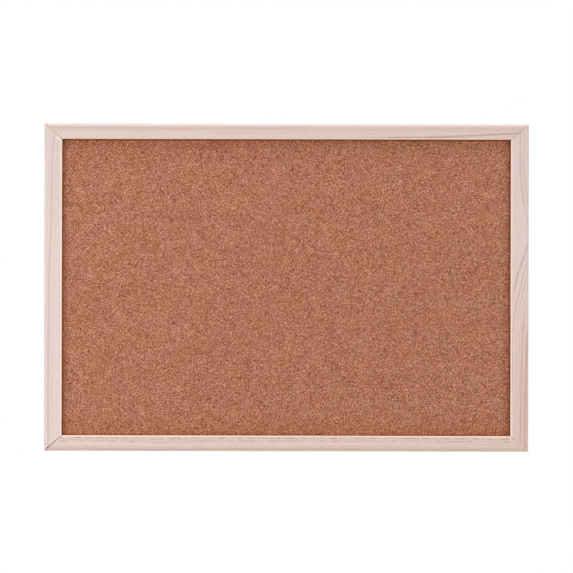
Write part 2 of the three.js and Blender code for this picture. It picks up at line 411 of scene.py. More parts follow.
class Surface(Graph):
    """The node tree of one material, which reads the place on the piece in millimetres."""

    def __init__(self, name: str) -> None:
        """Makes the material.

        Args:
            name: The material's name.
        """
        self.material = bpy.data.materials.new(name)
        self.material.use_nodes = True
        super().__init__(self.material.node_tree)
        self.tree.nodes.clear()
        self.place = self.add("ShaderNodeTexCoord", output="Object") * PER_MM

    def blend(self, low: Wire | Colour, high: Wire | Colour, share: Value) -> Wire:
        """Mixes two colours.

        Args:
            low: The colour at a share of 0.
            high: The colour at a share of 1.
            share: How much of the second there is.

        Returns:
            The mixed colour.
        """
        inputs = {"Factor_Float": share, "A_Color": low, "B_Color": high}
        return self.add("ShaderNodeMix", {"data_type": "RGBA"}, inputs)

    def ramp(self, value: Wire, stops: Stops) -> Wire:
        """A colour for each value, read off a few stops."""
        return self.add("ShaderNodeValToRGB", {"stops": stops}, {"Fac": value}, "Color")

    def bump(self, height: Wire, depth: float, strength: float) -> Wire:
        """Adds a relief that only the light sees.

        Args:
            height: The relief, from 0 to 1.
            depth: How deep it is, in millimetres.
            strength: How much of it shows.

        Returns:
            The bent normal.
        """
        inputs = {"Height": height, "Distance": depth * MM, "Strength": strength}
        return self.add("ShaderNodeBump", inputs=inputs)

    def close(self, **inputs: Wire | Colour | float) -> bpy.types.Material:
        """Ends the tree with a shader.

        Args:
            inputs: The shader's inputs, with _ for a space in a name.

        Returns:
            The material.
        """
        named = {name.replace("_", " "): value for name, value in inputs.items()}
        shader = self.add("ShaderNodeBsdfPrincipled", inputs=named)
        self.add("ShaderNodeOutputMaterial", inputs={"Surface": shader})
        return self.material


class ShapeTree(Graph):
    """A Geometry Nodes tree with named inputs, which makes plain meshes."""

    def __init__(self, name: str) -> None:
        """Makes the tree with its inputs for a starting mesh and a finish.

        Args:
            name: The tree's name.
        """
        super().__init__(bpy.data.node_groups.new(name, "GeometryNodeTree"))
        self.entry = self.tree.nodes.new("NodeGroupInput")
        self.identifiers: dict[str, str] = {}
        self.tree.interface.new_socket(name="Shape", in_out="OUTPUT", socket_type="NodeSocketGeometry")
        self.base = self.size("Base", "Geometry")
        self.finish = self.size("Finish", "Material")

    def size(self, name: str, kind: str = "Float") -> Wire:
        """Adds a named input.

        Args:
            name: Its name.
            kind: The type of its socket.

        Returns:
            Its wire inside the tree.
        """
        interface = self.tree.interface
        socket = interface.new_socket(name=name, in_out="INPUT", socket_type=f"NodeSocket{kind}")
        self.identifiers[name] = socket.identifier
        return Wire(self, find_socket(self.entry.outputs, socket.identifier))

    def object_shape(self, name: str) -> Wire:
        """The shape of an object that is a named input."""
        inputs = {"Object": self.size(name, "Object")}
        return self.add("GeometryNodeObjectInfo", inputs=inputs, output="Geometry")

    def place(self) -> Wire:
        """Where each point is."""
        return self.add("GeometryNodeInputPosition")

    def close(self, shape: Wire) -> None:
        """Ends the tree: copies are made real, and all faces take the finish.

        Args:
            shape: What the tree has made.
        """
        real = self.add("GeometryNodeRealizeInstances", inputs={"Geometry": shape})
        inputs = {"Geometry": real, "Material": self.finish}
        dressed = self.add("GeometryNodeSetMaterial", inputs=inputs)
        self.add("NodeGroupOutput", inputs={0: dressed})

    def make(
        self,
        name: str,
        finish: bpy.types.Material,
        sizes: Mapping[str, object],
        base: bpy.types.Mesh | None = None,
    ) -> bpy.types.Object:
        """Runs the tree once.

        Args:
            name: The new piece's name.
            finish: Its material.
            sizes: The values of the tree's named inputs.
            base: The mesh that it starts from, or None where the tree makes all of it.

        Returns:
            An object with a plain mesh.
        """
        piece = new_object(name, base or bpy.data.meshes.new(name))
        modifier = piece.modifiers.new("shape", "NODES")
        modifier.node_group = self.tree
        for label, value in {**sizes, "Finish": finish}.items():
            modifier[self.identifiers[label]] = value
        settle(piece)
        return piece


def new_object(name: str, data: bpy.types.ID) -> bpy.types.Object:
    """Adds an object to the scene, at the origin.

    Args:
        name: Its name.
        data: Its mesh, curve, lamp or camera.

    Returns:
        The object.
    """
    thing = bpy.data.objects.new(name, data)
    bpy.context.scene.collection.objects.link(thing)
    return thing


def settle(piece: bpy.types.Object) -> None:
    """Turns what a piece's modifiers make into its plain mesh, and removes them.

    Args:
        piece: The piece.
    """
    graph = bpy.context.evaluated_depsgraph_get()
    mesh = bpy.data.meshes.new_from_object(piece.evaluated_get(graph), depsgraph=graph)
    piece.modifiers.clear()
    piece.data = mesh
    mesh.name = piece.name


def drop(*things: bpy.types.Object) -> None:
    """Removes objects that only helped to shape others."""
    for thing in things:
        bpy.data.objects.remove(thing)


def carve(piece: bpy.types.Object, tool: bpy.types.Object) -> None:
    """Cuts one object's shape out of a piece, and removes that object.

    Args:
        piece: The piece that is cut.
        tool: The closed shape that is taken away.
    """
    cut = piece.modifiers.new("cut", "BOOLEAN")
    cut.object = tool
    cut.operation = "DIFFERENCE"
    cut.solver = "EXACT"
    settle(piece)
    drop(tool)


def skin(name: str, rings: Sequence[Sequence[Vector]]) -> bpy.types.Object:
    """Makes a closed shell over a row of rings.

    Args:
        name: The new object's name.
        rings: Closed outlines with as many points each, from one end to the other.

    Returns:
        The object, with a flat face over each end.
    """
    shell = bmesh.new()
    rows = [[shell.verts.new(point) for point in ring] for ring in rings]
    count = len(rows[0])
    for one, other in zip(rows, rows[1:]):
        for index in range(count):
            after = (index + 1) % count
            shell.faces.new((one[index], one[after], other[after], other[index]))
    shell.faces.new(rows[0])
    shell.faces.new(rows[-1])
    bmesh.ops.recalc_face_normals(shell, faces=shell.faces)
    mesh = bpy.data.meshes.new(name)
    shell.to_mesh(mesh)
    shell.free()
    return new_object(name, mesh)


def arc(middle: Vector, radii: Vector, start: float, end: float, steps: int) -> list[Vector]:
    """Points on part of an ellipse.

    Args:
        middle: Its centre.
        radii: Its two half widths.
        start: The angle of the first point.
        end: The angle of the last point.
        steps: How many steps lie between the two.

    Returns:
        The points, as flat vectors.
    """
    angles = [start + (end - start) * step / steps for step in range(steps + 1)]
    return [middle + Vector((radii.x * math.cos(a), radii.y * math.sin(a))) for a in angles]


def lathe(name: str, profile: Sequence[Vector], sides: int) -> bpy.types.Object:
    """Turns a profile about the Y axis.

    Args:
        name: The new object's name.
        profile: Radius and place along the axis of each ring.
        sides: How many points each ring has.

    Returns:
        The turned object.
    """
    angles = [TURN * side / sides for side in range(sides)]
    rings = [[Vector((r * math.cos(a), y, r * math.sin(a))) for a in angles] for r, y in profile]
    return skin(name, rings)


def follow(name: str, points: Sequence[Vector], closed: bool) -> bpy.types.Object:
    """Makes a line through points.

    Args:
        name: The new object's name.
        points: The points.
        closed: Whether the last is joined to the first.

    Returns:
        A curve object.
    """
    data = bpy.data.curves.new(name, "CURVE")
    data.dimensions = "3D"
    spline = data.splines.new("POLY")
    spline.points.add(len(points) - 1)
    for place, point in zip(spline.points, points):
        place.co = (*point.to_3d(), 1)
    spline.use_cyclic_u = closed
    return new_object(name, data)


def install(piece: bpy.types.Object, body: Body, nodes: Sequence[str]) -> None:
    """Smooths a finished piece and puts it on its body, in place of the CAD's nodes.

    Args:
        piece: The piece.
        body: The body that it rides on.
        nodes: The nodes that it stands for.
    """
    mesh = piece.data
    mesh.shade_smooth()
    mesh.set_sharp_from_angle(angle=CREASE)
    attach(piece, body.value)
    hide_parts(*nodes)
    log.info("%s: %d faces on %s, for %s", piece.name, len(mesh.polygons), body.value, ", ".join(nodes))


def dress(node: str, finish: bpy.types.Material) -> None:
    """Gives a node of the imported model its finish.

    Args:
        node: The node's name.
        finish: The material.
    """
    piece = frame["nodes"][node]
    for place in piece.material_slots:
        place.material = finish
    log.info("%s: the packed model's own mesh, with %s", node, finish.name)


def middle_of(node: str) -> Vector:
    """The middle of a node's box."""
    low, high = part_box(node)
    return (low + high) / 2


def size_of(node: str) -> Vector:
    """The size of a node's box."""
    low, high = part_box(node)
    return high - low


def face_width(side: Side) -> float:
    """How wide a side's finished moulding is, seen from the front."""
    size = size_of(side.node)
    return (size.x if side.upright else size.z) + WIDER.get(side, 0)


def run_length(side: Side) -> float:
    """How long a side of the whole board is."""
    size = cad_box[1] - cad_box[0]
    return size.z if side.upright else size.x


def joint_place(body: Body) -> Vector:
    """Where the joint is that a body turns on."""
    return Vector(next(joint["pos_m"] for joint in frame["joints"] if joint["child"] == body.value))


@dataclass(frozen=True)
class Streak:
    """A faint line, mostly along a growth ring, in millimetres from the moulding's outer edge.

    Its reach is where it starts and ends, as shares of the moulding's length. It may be broken.
    """

    place: float
    width: float
    tint: Colour
    reach: Span = (-0.2, 1.2)
    broken: float = 0


@dataclass(frozen=True)
class Stick:
    """What the finish of one moulding reads from its places, in millimetres.

    Along is counted from the board's middle, across from the outer edge and depth from the back.
    The share is the place along from 0 to 1, and the grain is the seeded place for noise. The sway
    and the bend are how far the rings are off a straight line there, and the front is a mask.
    """

    graph: Surface
    run: float
    width: float
    along: Wire
    across: Wire
    depth: Wire
    share: Wire
    grain: Wire
    sway: Wire
    bend: Wire
    front: Wire

    def inward(self, span: Span) -> Span:
        """A span that is given back from the inner edge, counted from the outer edge."""
        return self.width - span[0], self.width - span[1]


@dataclass(frozen=True)
class PineFinish:
    """Planed pine, pale and bare, with its growth rings along the moulding.

    Sizes and places are in millimetres. A span is where a mask starts from 0 and where it reaches 1.
    """

    side: Side
    seed: float
    pale: Colour
    ring_gap: float
    ring_strength: float
    drift: Stops
    drift_reach: float
    streaks: tuple[Streak, ...]
    heart: float = 60
    ring_spread: float = 1
    vigour: Stops = ((0, 1), (1, 1))
    # A tint of the outer rim, which on the top and bottom rails is painted light
    rim: Colour = WHITE
    foot: Colour = WHITE
    head: Colour = WHITE
    late: Colour = (0.84, 0.74, 0.7)
    pink: Colour = (1.0, 0.97, 0.985)
    straw: Colour = (0.985, 0.985, 0.95)
    fibre: Colour = (0.9, 0.86, 0.84)
    joint: Colour = (0.5, 0.41, 0.37)
    fleck: Colour = tone(255, 247, 243)
    flecks: float = 0.3
    shoulder: Colour = (0.925, 0.885, 0.865)
    # A painted highlight along the inner arris
    arris: Colour = tone(255, 229, 215)
    # Painted shadow on the inner wall below the sight edge, and painted reflected light near its top
    sight: Colour = tone(112, 60, 38)
    glow: Colour = tone(202, 143, 114)
    roughness: float = 0.6
    gloss: float = 0.3

    # Growth rings, and the streaks beside them
    sway: Noise = Noise(pace=(0.012, 0.03, 0.03))
    sway_reach: float = 5
    front_sway: float = 0.15
    ring_lean: float = 0.3
    ring_start: Span = (0.5, 0.86)
    ring_end: Span = (0.9, 1.0)
    ring_fade: Noise = Noise(pace=(0.03, 0.25, 0.25))
    fade_span: Span = (0.36, 0.6)
    faint_ring: float = 0.3
    heart_edge: float = 1.5
    streak_gaps: Noise = Noise(rough=0.7, pace=(0.14, 0.5, 0.5))
    gap_span: Span = (0.48, 0.57)
    streak_end: float = 0.08

    # Patches of colour, fibres, and the relief and roughness that they leave
    patches: Noise = Noise(pace=(0.03, 0.15, 0.15))
    patch_span: Span = (0.35, 0.65)
    fibres: Noise = Noise(detail=3, rough=0.75, pace=(0.14, 1.3, 1.3))
    hairs: Noise = Noise(detail=3, rough=0.8, pace=(0.5, 2.2, 2.2))
    fibre_span: Span = (0.44, 0.66)
    relief_shares: Numbers = (0.6, 0.25, 0.15)
    relief: float = 0.12
    relief_strength: float = 0.5
    fibre_roughness: float = 0.2
    sight_roughness: float = 0.3

    # Edges: from the outer one, from the inner one, or forward from the back
    front_span: Span = (15, 17)
    rim_span: Span = (1.8, 3.4)
    shoulder_start: Span = (2.4, 3.8)
    shoulder_end: Span = (6, 12)
    arris_span: Span = (2.2, 1.6)
    sight_span: Span = (0.45, 0.15)
    sight_depth: Span = (12.5, 13.5)
    glow_depth: Span = (16, 18)

    # Corners: from the mitre, or from the inner edge
    torn_reach: Span = (3.5, 8)
    torn_span: Span = (9, 4)
    chips: Noise = Noise(detail=3, rough=0.6, pace=(0.42, 0.85, 0.85))
    pale_chips: Span = (0.51, 0.6)
    dark_chips: Span = (0.4, 0.46)
    chip_strength: float = 0.6
    seam_reach: Span = (0.2, 0.75)
    seam_span: Span = (7, 2)
    seam_gaps: Noise = Noise(3, 1)
    seam_gap_span: Span = (0.3, 0.55)
    faint_seam: float = 0.3

    def material(self) -> bpy.types.Material:
        """Builds the material of the side's moulding.

        Returns:
            The material.
        """
        s = Surface(f"pine_{self.side.name.lower()}")
        stick = self._stick(s)
        rings = self._rings(stick)
        colour = self._figure(stick, rings)
        fibres, hairs = [s.noise(stick.grain, noise) for noise in (self.fibres, self.hairs)]
        colour = s.blend(colour, colour * self.fibre, s.step((fibres + hairs) / 2, self.fibre_span))
        colour = self._corners(stick, self._edges(stick, colour))
        # Painted shadow on the inner wall of the sight edge, warmed by painted reflected light near its top
        inside = s.step(stick.across, stick.inward(self.sight_span)) * s.step(stick.depth, self.sight_depth)
        shade = s.blend(self.sight, self.glow, s.step(stick.depth, self.glow_depth))
        height = s.total((fibres, hairs, rings), self.relief_shares)
        roughness = self.roughness + (fibres - HALF) * self.fibre_roughness + inside * self.sight_roughness
        return s.close(
            Base_Color=s.blend(colour, shade, inside),
            Roughness=roughness,
            Normal=s.bump(height, self.relief, self.relief_strength),
            Specular_IOR_Level=self.gloss,
        )

    def _stick(self, s: Surface) -> Stick:
        """Reads the places that the finish depends on.

        Args:
            s: The material's graph.

        Returns:
            The places and what follows from them.
        """
        x, y, z = s.place.parts()
        low, high = [corner * PER_MM for corner in cad_box]
        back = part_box(self.side.node)[1].y * PER_MM
        across = {
            Side.BOTTOM: z - low.z,
            Side.LEFT: x - low.x,
            Side.TOP: high.z - z,
            Side.RIGHT: high.x - x,
        }[self.side]
        along, depth = (z if self.side.upright else x), back - y
        run = run_length(self.side) * PER_MM
        share = along / run + HALF
        grain = s.vector(along, across, depth) + (self.seed, self.seed, self.seed)
        return Stick(
            graph=s,
            run=run,
            width=face_width(self.side) * PER_MM,
            along=along,
            across=across,
            depth=depth,
            share=share,
            grain=grain,
            sway=(s.noise(grain, self.sway) - HALF) * self.sway_reach,
            bend=s.ramp(share, self.drift).parts()[0] * self.drift_reach,
            front=s.step(depth, self.front_span),
        )

    def _rings(self, stick: Stick) -> Wire:
        """Finds the late wood of the growth rings, which are counted from the heart outwards.

        Args:
            stick: The places on the moulding.

        Returns:
            A mask of the dark lines.
        """
        s = stick.graph
        lines = stick.across + stick.depth * self.ring_lean + stick.bend
        count = s.reckon("MAXIMUM", (self.heart - lines - stick.sway) / self.ring_gap, 0)
        phase = s.reckon("FRACT", -(count**self.ring_spread))
        rings = s.step(phase, self.ring_start) * (1 - s.step(phase, self.ring_end))
        fade = s.step(s.noise(stick.grain, self.ring_fade), self.fade_span)
        rings = rings * (fade * (1 - self.faint_ring) + self.faint_ring)
        rings = rings * (1 - s.step(lines, (self.heart - self.heart_edge, self.heart)))
        return rings * s.ramp(stick.share, self.vigour).parts()[0]

    def _figure(self, stick: Stick, rings: Wire) -> Wire:
        """Colours the wood, with its rings and streaks.

        Args:
            stick: The places on the moulding.
            rings: The mask of the rings' dark lines.

        Returns:
            The colour.
        """
        s, share = stick.graph, stick.share
        patches = s.step(s.noise(stick.grain, self.patches), self.patch_span)
        colour = s.blend(self.pink, self.straw, patches) * self.pale
        colour = s.blend(colour, colour * self.foot, 1 - s.step(share, (0, HALF)))
        colour = s.blend(colour, colour * self.head, s.step(share, (HALF, 1)))
        colour = s.blend(colour, colour * self.late, rings * self.ring_strength)
        lines = stick.across + stick.bend + stick.sway * self.front_sway
        gaps = 1 - s.step(s.noise(stick.grain, self.streak_gaps), self.gap_span)
        for streak in self.streaks:
            mask = s.reckon("EXPONENT", -(((lines - streak.place) / streak.width) ** 2))
            start, end = streak.reach
            shown = s.step(share, (start, start + self.streak_end))
            hidden = s.step(share, (end - self.streak_end, end))
            mask = mask * shown * (1 - hidden) * (1 - gaps * streak.broken)
            colour = s.blend(colour, colour * streak.tint, mask)
        return colour

    def _edges(self, stick: Stick, colour: Wire) -> Wire:
        """Tints the outer rim and the shoulder beside it, and paints a highlight on the inner arris.

        Args:
            stick: The places on the moulding.
            colour: The colour before.

        Returns:
            The colour with its edges.
        """
        s, across, front = stick.graph, stick.across, stick.front
        # Painted light on the outer rim: a highlight on the top rail, a lift of the shaded bottom rim
        colour = s.blend(colour, colour * self.rim, (1 - s.step(across, self.rim_span)) * front)
        shoulder_band = s.step(across, self.shoulder_start) * (1 - s.step(across, self.shoulder_end)) * front
        colour = s.blend(colour, colour * self.shoulder, shoulder_band)
        # A painted highlight along the inner arris
        return s.blend(colour, self.arris, s.step(across, stick.inward(self.arris_span)) * front)

    def _corners(self, stick: Stick, colour: Wire) -> Wire:
        """Adds the fibres that the saw has torn at the mitres, and the dark seams there.

        Args:
            stick: The places on the moulding.
            colour: The colour before.

        Returns:
            The colour with its corners.
        """
        s, across = stick.graph, stick.across
        slope = face_width(self.side.next) * PER_MM / stick.width
        mitre = stick.run / 2 - abs(stick.along) - across * slope
        inner = s.step(across, stick.inward(self.torn_span))
        torn = (1 - s.step(mitre, self.torn_reach)) * inner * stick.front * self.flecks
        chips = s.noise(stick.grain, self.chips)
        colour = s.blend(colour, self.fleck, torn * s.step(chips, self.pale_chips))
        dark = torn * (1 - s.step(chips, self.dark_chips)) * self.chip_strength
        colour = s.blend(colour, colour * self.joint, dark)
        shown = s.step(s.noise(s.place, self.seam_gaps), self.seam_gap_span)
        seam = (1 - s.step(mitre, self.seam_reach)) * shown
        inner = s.step(across, stick.inward(self.seam_span)) * (1 - self.faint_seam) + self.faint_seam
        return s.blend(colour, colour * self.joint, seam * inner)


@dataclass(frozen=True)
class CorkFinish:
    """Ground cork pressed into a sheet, with dark bark grains among the pale ones.

    Sizes and places are in millimetres. A span is where a mask starts from 0 and where it reaches 1.
    """

    coarse: float = 1
    fine: float = 0.46
    tones: Stops = ((0.14, tone(113, 43, 14)), (0.5, tone(180, 113, 81)), (0.86, tone(246, 190, 163)))
    crack: Colour = tone(113, 43, 14)
    bark: Colour = tone(94, 36, 16)
    pith: Colour = tone(238, 184, 154)
    yellow: Colour = (1, 1.005, 0.96)
    rosy: Colour = (1, 0.995, 1.04)
    roughness: float = 0.82
    grit_roughness: float = 0.14
    gloss: float = 0.15

    # Grains
    grit: Noise = Noise(0.8)
    shake: float = 0.6
    blotches: Noise = Noise(15)
    hue: Noise = Noise(24)
    hue_span: Span = (0.3, 0.7)
    value_shares: Numbers = (0.31, 0.54, 0.26, 0.1)
    value_shift: float = 0.105
    crack_span: Span = (0, 0.09)
    crack_strength: float = 0.35
    bark_span: Span = (0.955, 0.965)
    bark_strength: float = 0.8
    pith_span: Span = (0.972, 0.98)
    pith_strength: float = 0.7
    groove_span: Span = (0, 0.3)
    relief_shares: Numbers = (0.5, 0.3, 0.2)
    relief: float = 0.3
    relief_strength: float = 0.7

    # Shade and reflected light beside the frame
    under_rail: Colour = (0.96, 0.92, 0.86)
    over_rail: Colour = (0.975, 0.945, 0.86)
    rail_span: Span = (2, 30)
    beside_frame: Colour = (1.08, 1.035, 0.965)
    frame_span: Span = (3, 8)
    edge_shade: Colour = (0.62, 0.52, 0.42)
    edge_width: float = 2.1
    lit_foot: float = 0.5
    dim_head: float = 0.3

    def material(self) -> bpy.types.Material:
        """Builds the material of the cork sheet.

        Returns:
            The material.
        """
        s = Surface("ground_cork")
        grit = s.noise(s.place, self.grit)
        stray = s.add("ShaderNodeTexNoise", inputs={"Vector": s.place}, output="Color")
        shaken = s.place + stray * self.shake
        coarse, fine = s.cells(shaken, self.coarse), s.cells(shaken, self.fine)
        border = s.cells(shaken, self.coarse, "DISTANCE_TO_EDGE")
        first, second, third = coarse.fellow("Color").parts()
        small = fine.fellow("Color").parts()[0]
        blotches = s.noise(s.place, self.blotches)
        value = s.total((first, small, grit, blotches), self.value_shares) - self.value_shift
        cracked = (1 - s.step(border, self.crack_span)) * self.crack_strength
        colour = s.blend(s.ramp(value, self.tones), self.crack, cracked)
        colour = s.blend(colour, self.bark, s.step(second, self.bark_span) * self.bark_strength)
        colour = s.blend(colour, self.pith, s.step(third, self.pith_span) * self.pith_strength)
        colour = colour * s.blend(self.yellow, self.rosy, s.step(s.noise(s.place, self.hue), self.hue_span))
        height = s.total((s.step(border, self.groove_span), small, grit), self.relief_shares)
        return s.close(
            Base_Color=self._shade(s, colour),
            Roughness=self.roughness + grit * self.grit_roughness,
            Normal=s.bump(height, self.relief, self.relief_strength),
            Specular_IOR_Level=self.gloss,
        )

    def _shade(self, s: Surface, colour: Wire) -> Wire:
        """Tints the cork beside the frame, where light comes off the wood or doesn't reach.

        Args:
            s: The material's graph.
            colour: The cork's own colour.

        Returns:
            The colour with its shades.
        """
        x, _, z = s.place.parts()
        half_width, half_height = [run_length(side) / 2 for side in (Side.TOP, Side.LEFT)]
        left, right = [(half_width - face_width(side)) * PER_MM for side in (Side.LEFT, Side.RIGHT)]
        level = (half_height - face_width(Side.BOTTOM)) * PER_MM
        beside = s.reckon("MINIMUM", left + x, right - x)
        under, over = level - z, level + z
        # Painted shade under the top rail and over the bottom rail
        colour = s.blend(colour * self.under_rail, colour, s.step(under, self.rail_span))
        colour = s.blend(colour * self.over_rail, colour, s.step(over, self.rail_span))
        near = s.reckon("MINIMUM", beside, s.reckon("MINIMUM", under, over))
        # Painted reflected light on the cork beside the frame
        colour = s.blend(colour * self.beside_frame, colour, s.step(near, self.frame_span))
        # A painted contact shadow along the edge of the opening
        rails = s.reckon("MINIMUM", under - self.dim_head, over + self.lit_foot)
        edge = s.step(s.reckon("MINIMUM", beside, rails), (0, self.edge_width))
        return s.blend(colour * self.edge_shade, colour, edge)


@dataclass(frozen=True)
class HardboardFinish:
    """The rough side of hardboard, printed by the wire screen that it was pressed on."""

    mesh_gap: float = 1.25
    tones: Stops = ((0.25, tone(88, 58, 38)), (0.52, tone(126, 88, 60)), (0.85, tone(156, 116, 82)))
    felt: Noise = Noise(2.5, 4, 0.7)
    cloud: Noise = Noise(45, 3)
    value_shares: Numbers = (0.55, 0.5, 0.12)
    value_shift: float = 0.05
    relief_shares: Numbers = (0.7, 0.3)
    relief: float = 0.3
    relief_strength: float = 0.6
    roughness: float = 0.7
    felt_roughness: float = 0.2

    def material(self) -> bpy.types.Material:
        """Builds the material of the hardboard.

        Returns:
            The material.
        """
        s = Surface("screen_backed_hardboard")
        x, _, z = s.place.parts()
        wave = TURN / self.mesh_gap
        across, down = s.reckon("SINE", x * wave), s.reckon("SINE", z * wave)
        weave = across * down * HALF + HALF
        felt, cloud = s.noise(s.place, self.felt), s.noise(s.place, self.cloud)
        value = s.total((felt, cloud, weave), self.value_shares) - self.value_shift
        height = s.total((weave, felt), self.relief_shares)
        return s.close(
            Base_Color=s.ramp(value, self.tones),
            Roughness=self.roughness + felt * self.felt_roughness,
            Normal=s.bump(height, self.relief, self.relief_strength),
        )


@dataclass(frozen=True)
class SoftboardFinish:
    """Softboard, pressed from coarse pulp."""

    tones: Stops = ((0.3, tone(146, 122, 92)), (0.7, tone(204, 182, 148)))
    pulp: Noise = Noise(1.8, 5, 0.75)
    shreds: Noise = Noise(0.8, 3, pace=(0.2, 1, 1))
    value_shares: Numbers = (0.6, 0.4)
    relief: float = 0.4
    relief_strength: float = 0.7
    roughness: float = 0.95

    def material(self) -> bpy.types.Material:
        """Builds the material of the softboard.

        Returns:
            The material.
        """
        s = Surface("softboard_pulp")
        parts = [s.noise(s.place, noise) for noise in (self.pulp, self.shreds)]
        value = s.total(parts, self.value_shares)
        return s.close(
            Base_Color=s.ramp(value, self.tones),
            Roughness=self.roughness,
            Normal=s.bump(value, self.relief, self.relief_strength),
        )


@dataclass(frozen=True)
class MetalFinish:
    """Plated steel, with a fine uneven skin and a few scratches."""

    name: str
    bright: Colour
    dull: Colour
    roughness: float
    spread: float
    cloud: Noise = Noise(3.5, 4, 0.65)
    dull_span: Span = (0.42, 0.72)
    dull_strength: float = 0.5
    grain: Noise = Noise(0.35)
    scratches: Noise = Noise(1, 1, pace=(6, 6, 0.25))
    scratch_turn: float = 0.6
    mark_span: Span = (0.66, 0.72)
    mark_strength: float = 0.3
    mark_roughness: float = 0.15
    relief_shares: Numbers = (0.6, 0.4)
    relief: float = 0.02
    relief_strength: float = 0.5

    def material(self) -> bpy.types.Material:
        """Builds the material of the plated steel.

        Returns:
            The material.
        """
        s = Surface(self.name)
        cloud, grain = s.noise(s.place, self.cloud), s.noise(s.place, self.grain)
        turn = {"Vector": s.place, "Angle": self.scratch_turn}
        turned = s.add("ShaderNodeVectorRotate", inputs=turn)
        marks = s.step(s.noise(turned, self.scratches), self.mark_span)
        dull = s.step(cloud, self.dull_span) * self.dull_strength + marks * self.mark_strength
        rough = self.roughness + (cloud - HALF) * self.spread + marks * self.mark_roughness
        height = s.total((grain, 1 - marks), self.relief_shares)
        return s.close(
            Base_Color=s.blend(self.bright, self.dull, dull),
            Metallic=1,
            Roughness=rough,
            Normal=s.bump(height, self.relief, self.relief_strength),
        )


@dataclass(frozen=True)
class RubberFinish:
    """Moulded rubber with a fine matt grain and a little dust."""

    dark: Colour = tone(46, 46, 48)
    dusty: Colour = tone(92, 90, 88)
    grain: Noise = Noise(0.3)
    dust: Noise = Noise(2.2, 4, 0.7)
    dust_span: Span = (0.5, 0.75)
    dust_strength: float = 0.45
    relief: float = 0.05
    relief_strength: float = 0.6
    roughness: float = 0.68
    dust_roughness: float = 0.2

    def material(self) -> bpy.types.Material:
        """Builds the material of the bumpers.

        Returns:
            The material.
        """
        s = Surface("matt_rubber")
        grain, dust = s.noise(s.place, self.grain), s.noise(s.place, self.dust)
        settled = s.step(dust, self.dust_span) * self.dust_strength
        return s.close(
            Base_Color=s.blend(self.dark, self.dusty, settled),
            Roughness=self.roughness + dust * self.dust_roughness,
            Normal=s.bump(grain, self.relief, self.relief_strength),
        )


ZINC = MetalFinish("zinc_plated_steel", tone(208, 210, 212), tone(150, 152, 154), 0.36, 0.3)
NICKEL = MetalFinish("nickel_plated_steel", tone(222, 218, 210), tone(178, 172, 162), 0.22, 0.18)


class Repeat(ShapeTree):
    """Copies of one template, set on the points of a mesh and turned as each says."""

    def __init__(self) -> None:
        """Builds the tree."""
        super().__init__("set_copies")
        template = self.object_shape("Template")
        settings = {"data_type": "FLOAT_VECTOR"}
        angles = self.add("GeometryNodeInputNamedAttribute", settings, {"Name": "turn"}, "Attribute")
        turn = self.add("FunctionNodeEulerToRotation", inputs={"Euler": angles})
        points = self.add("GeometryNodeMeshToPoints", inputs={"Mesh": self.base})
        inputs = {"Points": points, "Instance": template, "Rotation": turn}
        self.close(self.add("GeometryNodeInstanceOnPoints", inputs=inputs))

    def set_out(
        self,
        name: str,
        template: bpy.types.Object,
        turns: Mapping[str, Euler],
        finish: bpy.types.Material,
    ) -> bpy.types.Object:
        """Sets a copy in the place of each named node, and removes the template.

        Args:
            name: The new piece's name.
            template: What is copied.
            turns: How the copy for each node is turned.
            finish: The copies' material.

        Returns:
            The copies as one plain mesh.
        """
        places = []
        for node, turn in turns.items():
            corners = [turn.to_matrix() @ vertex.co for vertex in template.data.vertices]
            low, high = [Vector(map(edge, *corners)) for edge in (min, max)]
            places.append(middle_of(node) - (low + high) / 2)
        base = bpy.data.meshes.new(name)
        base.from_pydata(places, [], [])
        attribute = base.attributes.new("turn", "FLOAT_VECTOR", "POINT")
        for value, turn in zip(attribute.data, turns.values()):
            value.vector = turn
        piece = self.make(name, finish, {"Template": template}, base)
        drop(template)
        return piece


@dataclass
class CornerNails:
    """V-nails, two across the back of each mitre."""

    arm: float = 5 * MM
    thickness: float = 0.6 * MM
    depth: float = 10 * MM
    slit_play: float = 0.06 * MM
    slit_overrun: float = 0.6 * MM
    per_corner: int = 2

    def build(self, repeat: Repeat, finish: bpy.types.Material) -> None:
        """Makes the eight nails.

        Args:
            repeat: The tree that sets out copies.
            finish: Their material.
        """
        turns = self._turns()
        nails = repeat.set_out("corner_v_nails", self._blade(0, 0), turns, finish)
        install(nails, Body.BOARD, list(turns))

    def slits(self, repeat: Repeat, finish: bpy.types.Material) -> bpy.types.Object:
        """Makes the shapes of the slits that the nails lie in.

        Args:
            repeat: The tree that sets out copies.
            finish: The wood around them.

        Returns:
            The eight slits as one object.
        """
        blade = self._blade(self.slit_play, self.slit_overrun)
        return repeat.set_out("nail_slits", blade, self._turns(), finish)

    def _turns(self) -> dict[str, Euler]:
        """Turns each nail so that its legs lie on both sides of the mitre.

        Returns:
            The turn of each nail, by its node's name.
        """
        corners = {
            Side.BOTTOM: "lower_left",
            Side.LEFT: "upper_left",
            Side.TOP: "upper_right",
            Side.RIGHT: "lower_right",
        }
        turns = {}
        for side, corner in corners.items():
            mitre = math.atan2(face_width(side), face_width(side.next))
            for number in range(1, self.per_corner + 1):
                turns[f"v_nail_{corner}_{number}"] = Euler((0, side.turn - mitre, 0))
        return turns

    def _blade(self, play: float, overrun: float) -> bpy.types.Object:
        """Makes one folded blade, open towards +X.

        Args:
            play: How much wider than the nail it is, on each face.
            overrun: How much longer than the nail it is, at each end.

        Returns:
            The blade's object.
        """
        half = self.thickness / 2 + play
        reach = self.arm + play
        tip = Vector((reach, reach)) / math.sqrt(2)
        side = Vector((-half, half)) / math.sqrt(2)
        fold = Vector((half * math.sqrt(2), 0))
        upper = [-fold, tip + side, tip - side, fold]
        lower = [Vector((point.x, -point.y)) for point in upper[2:0:-1]]
        outline = upper + lower
        ends = (overrun, -self.depth - overrun)
        return skin("v_nail", [[Vector((p.x, y, p.y)) for p in outline] for y in ends])


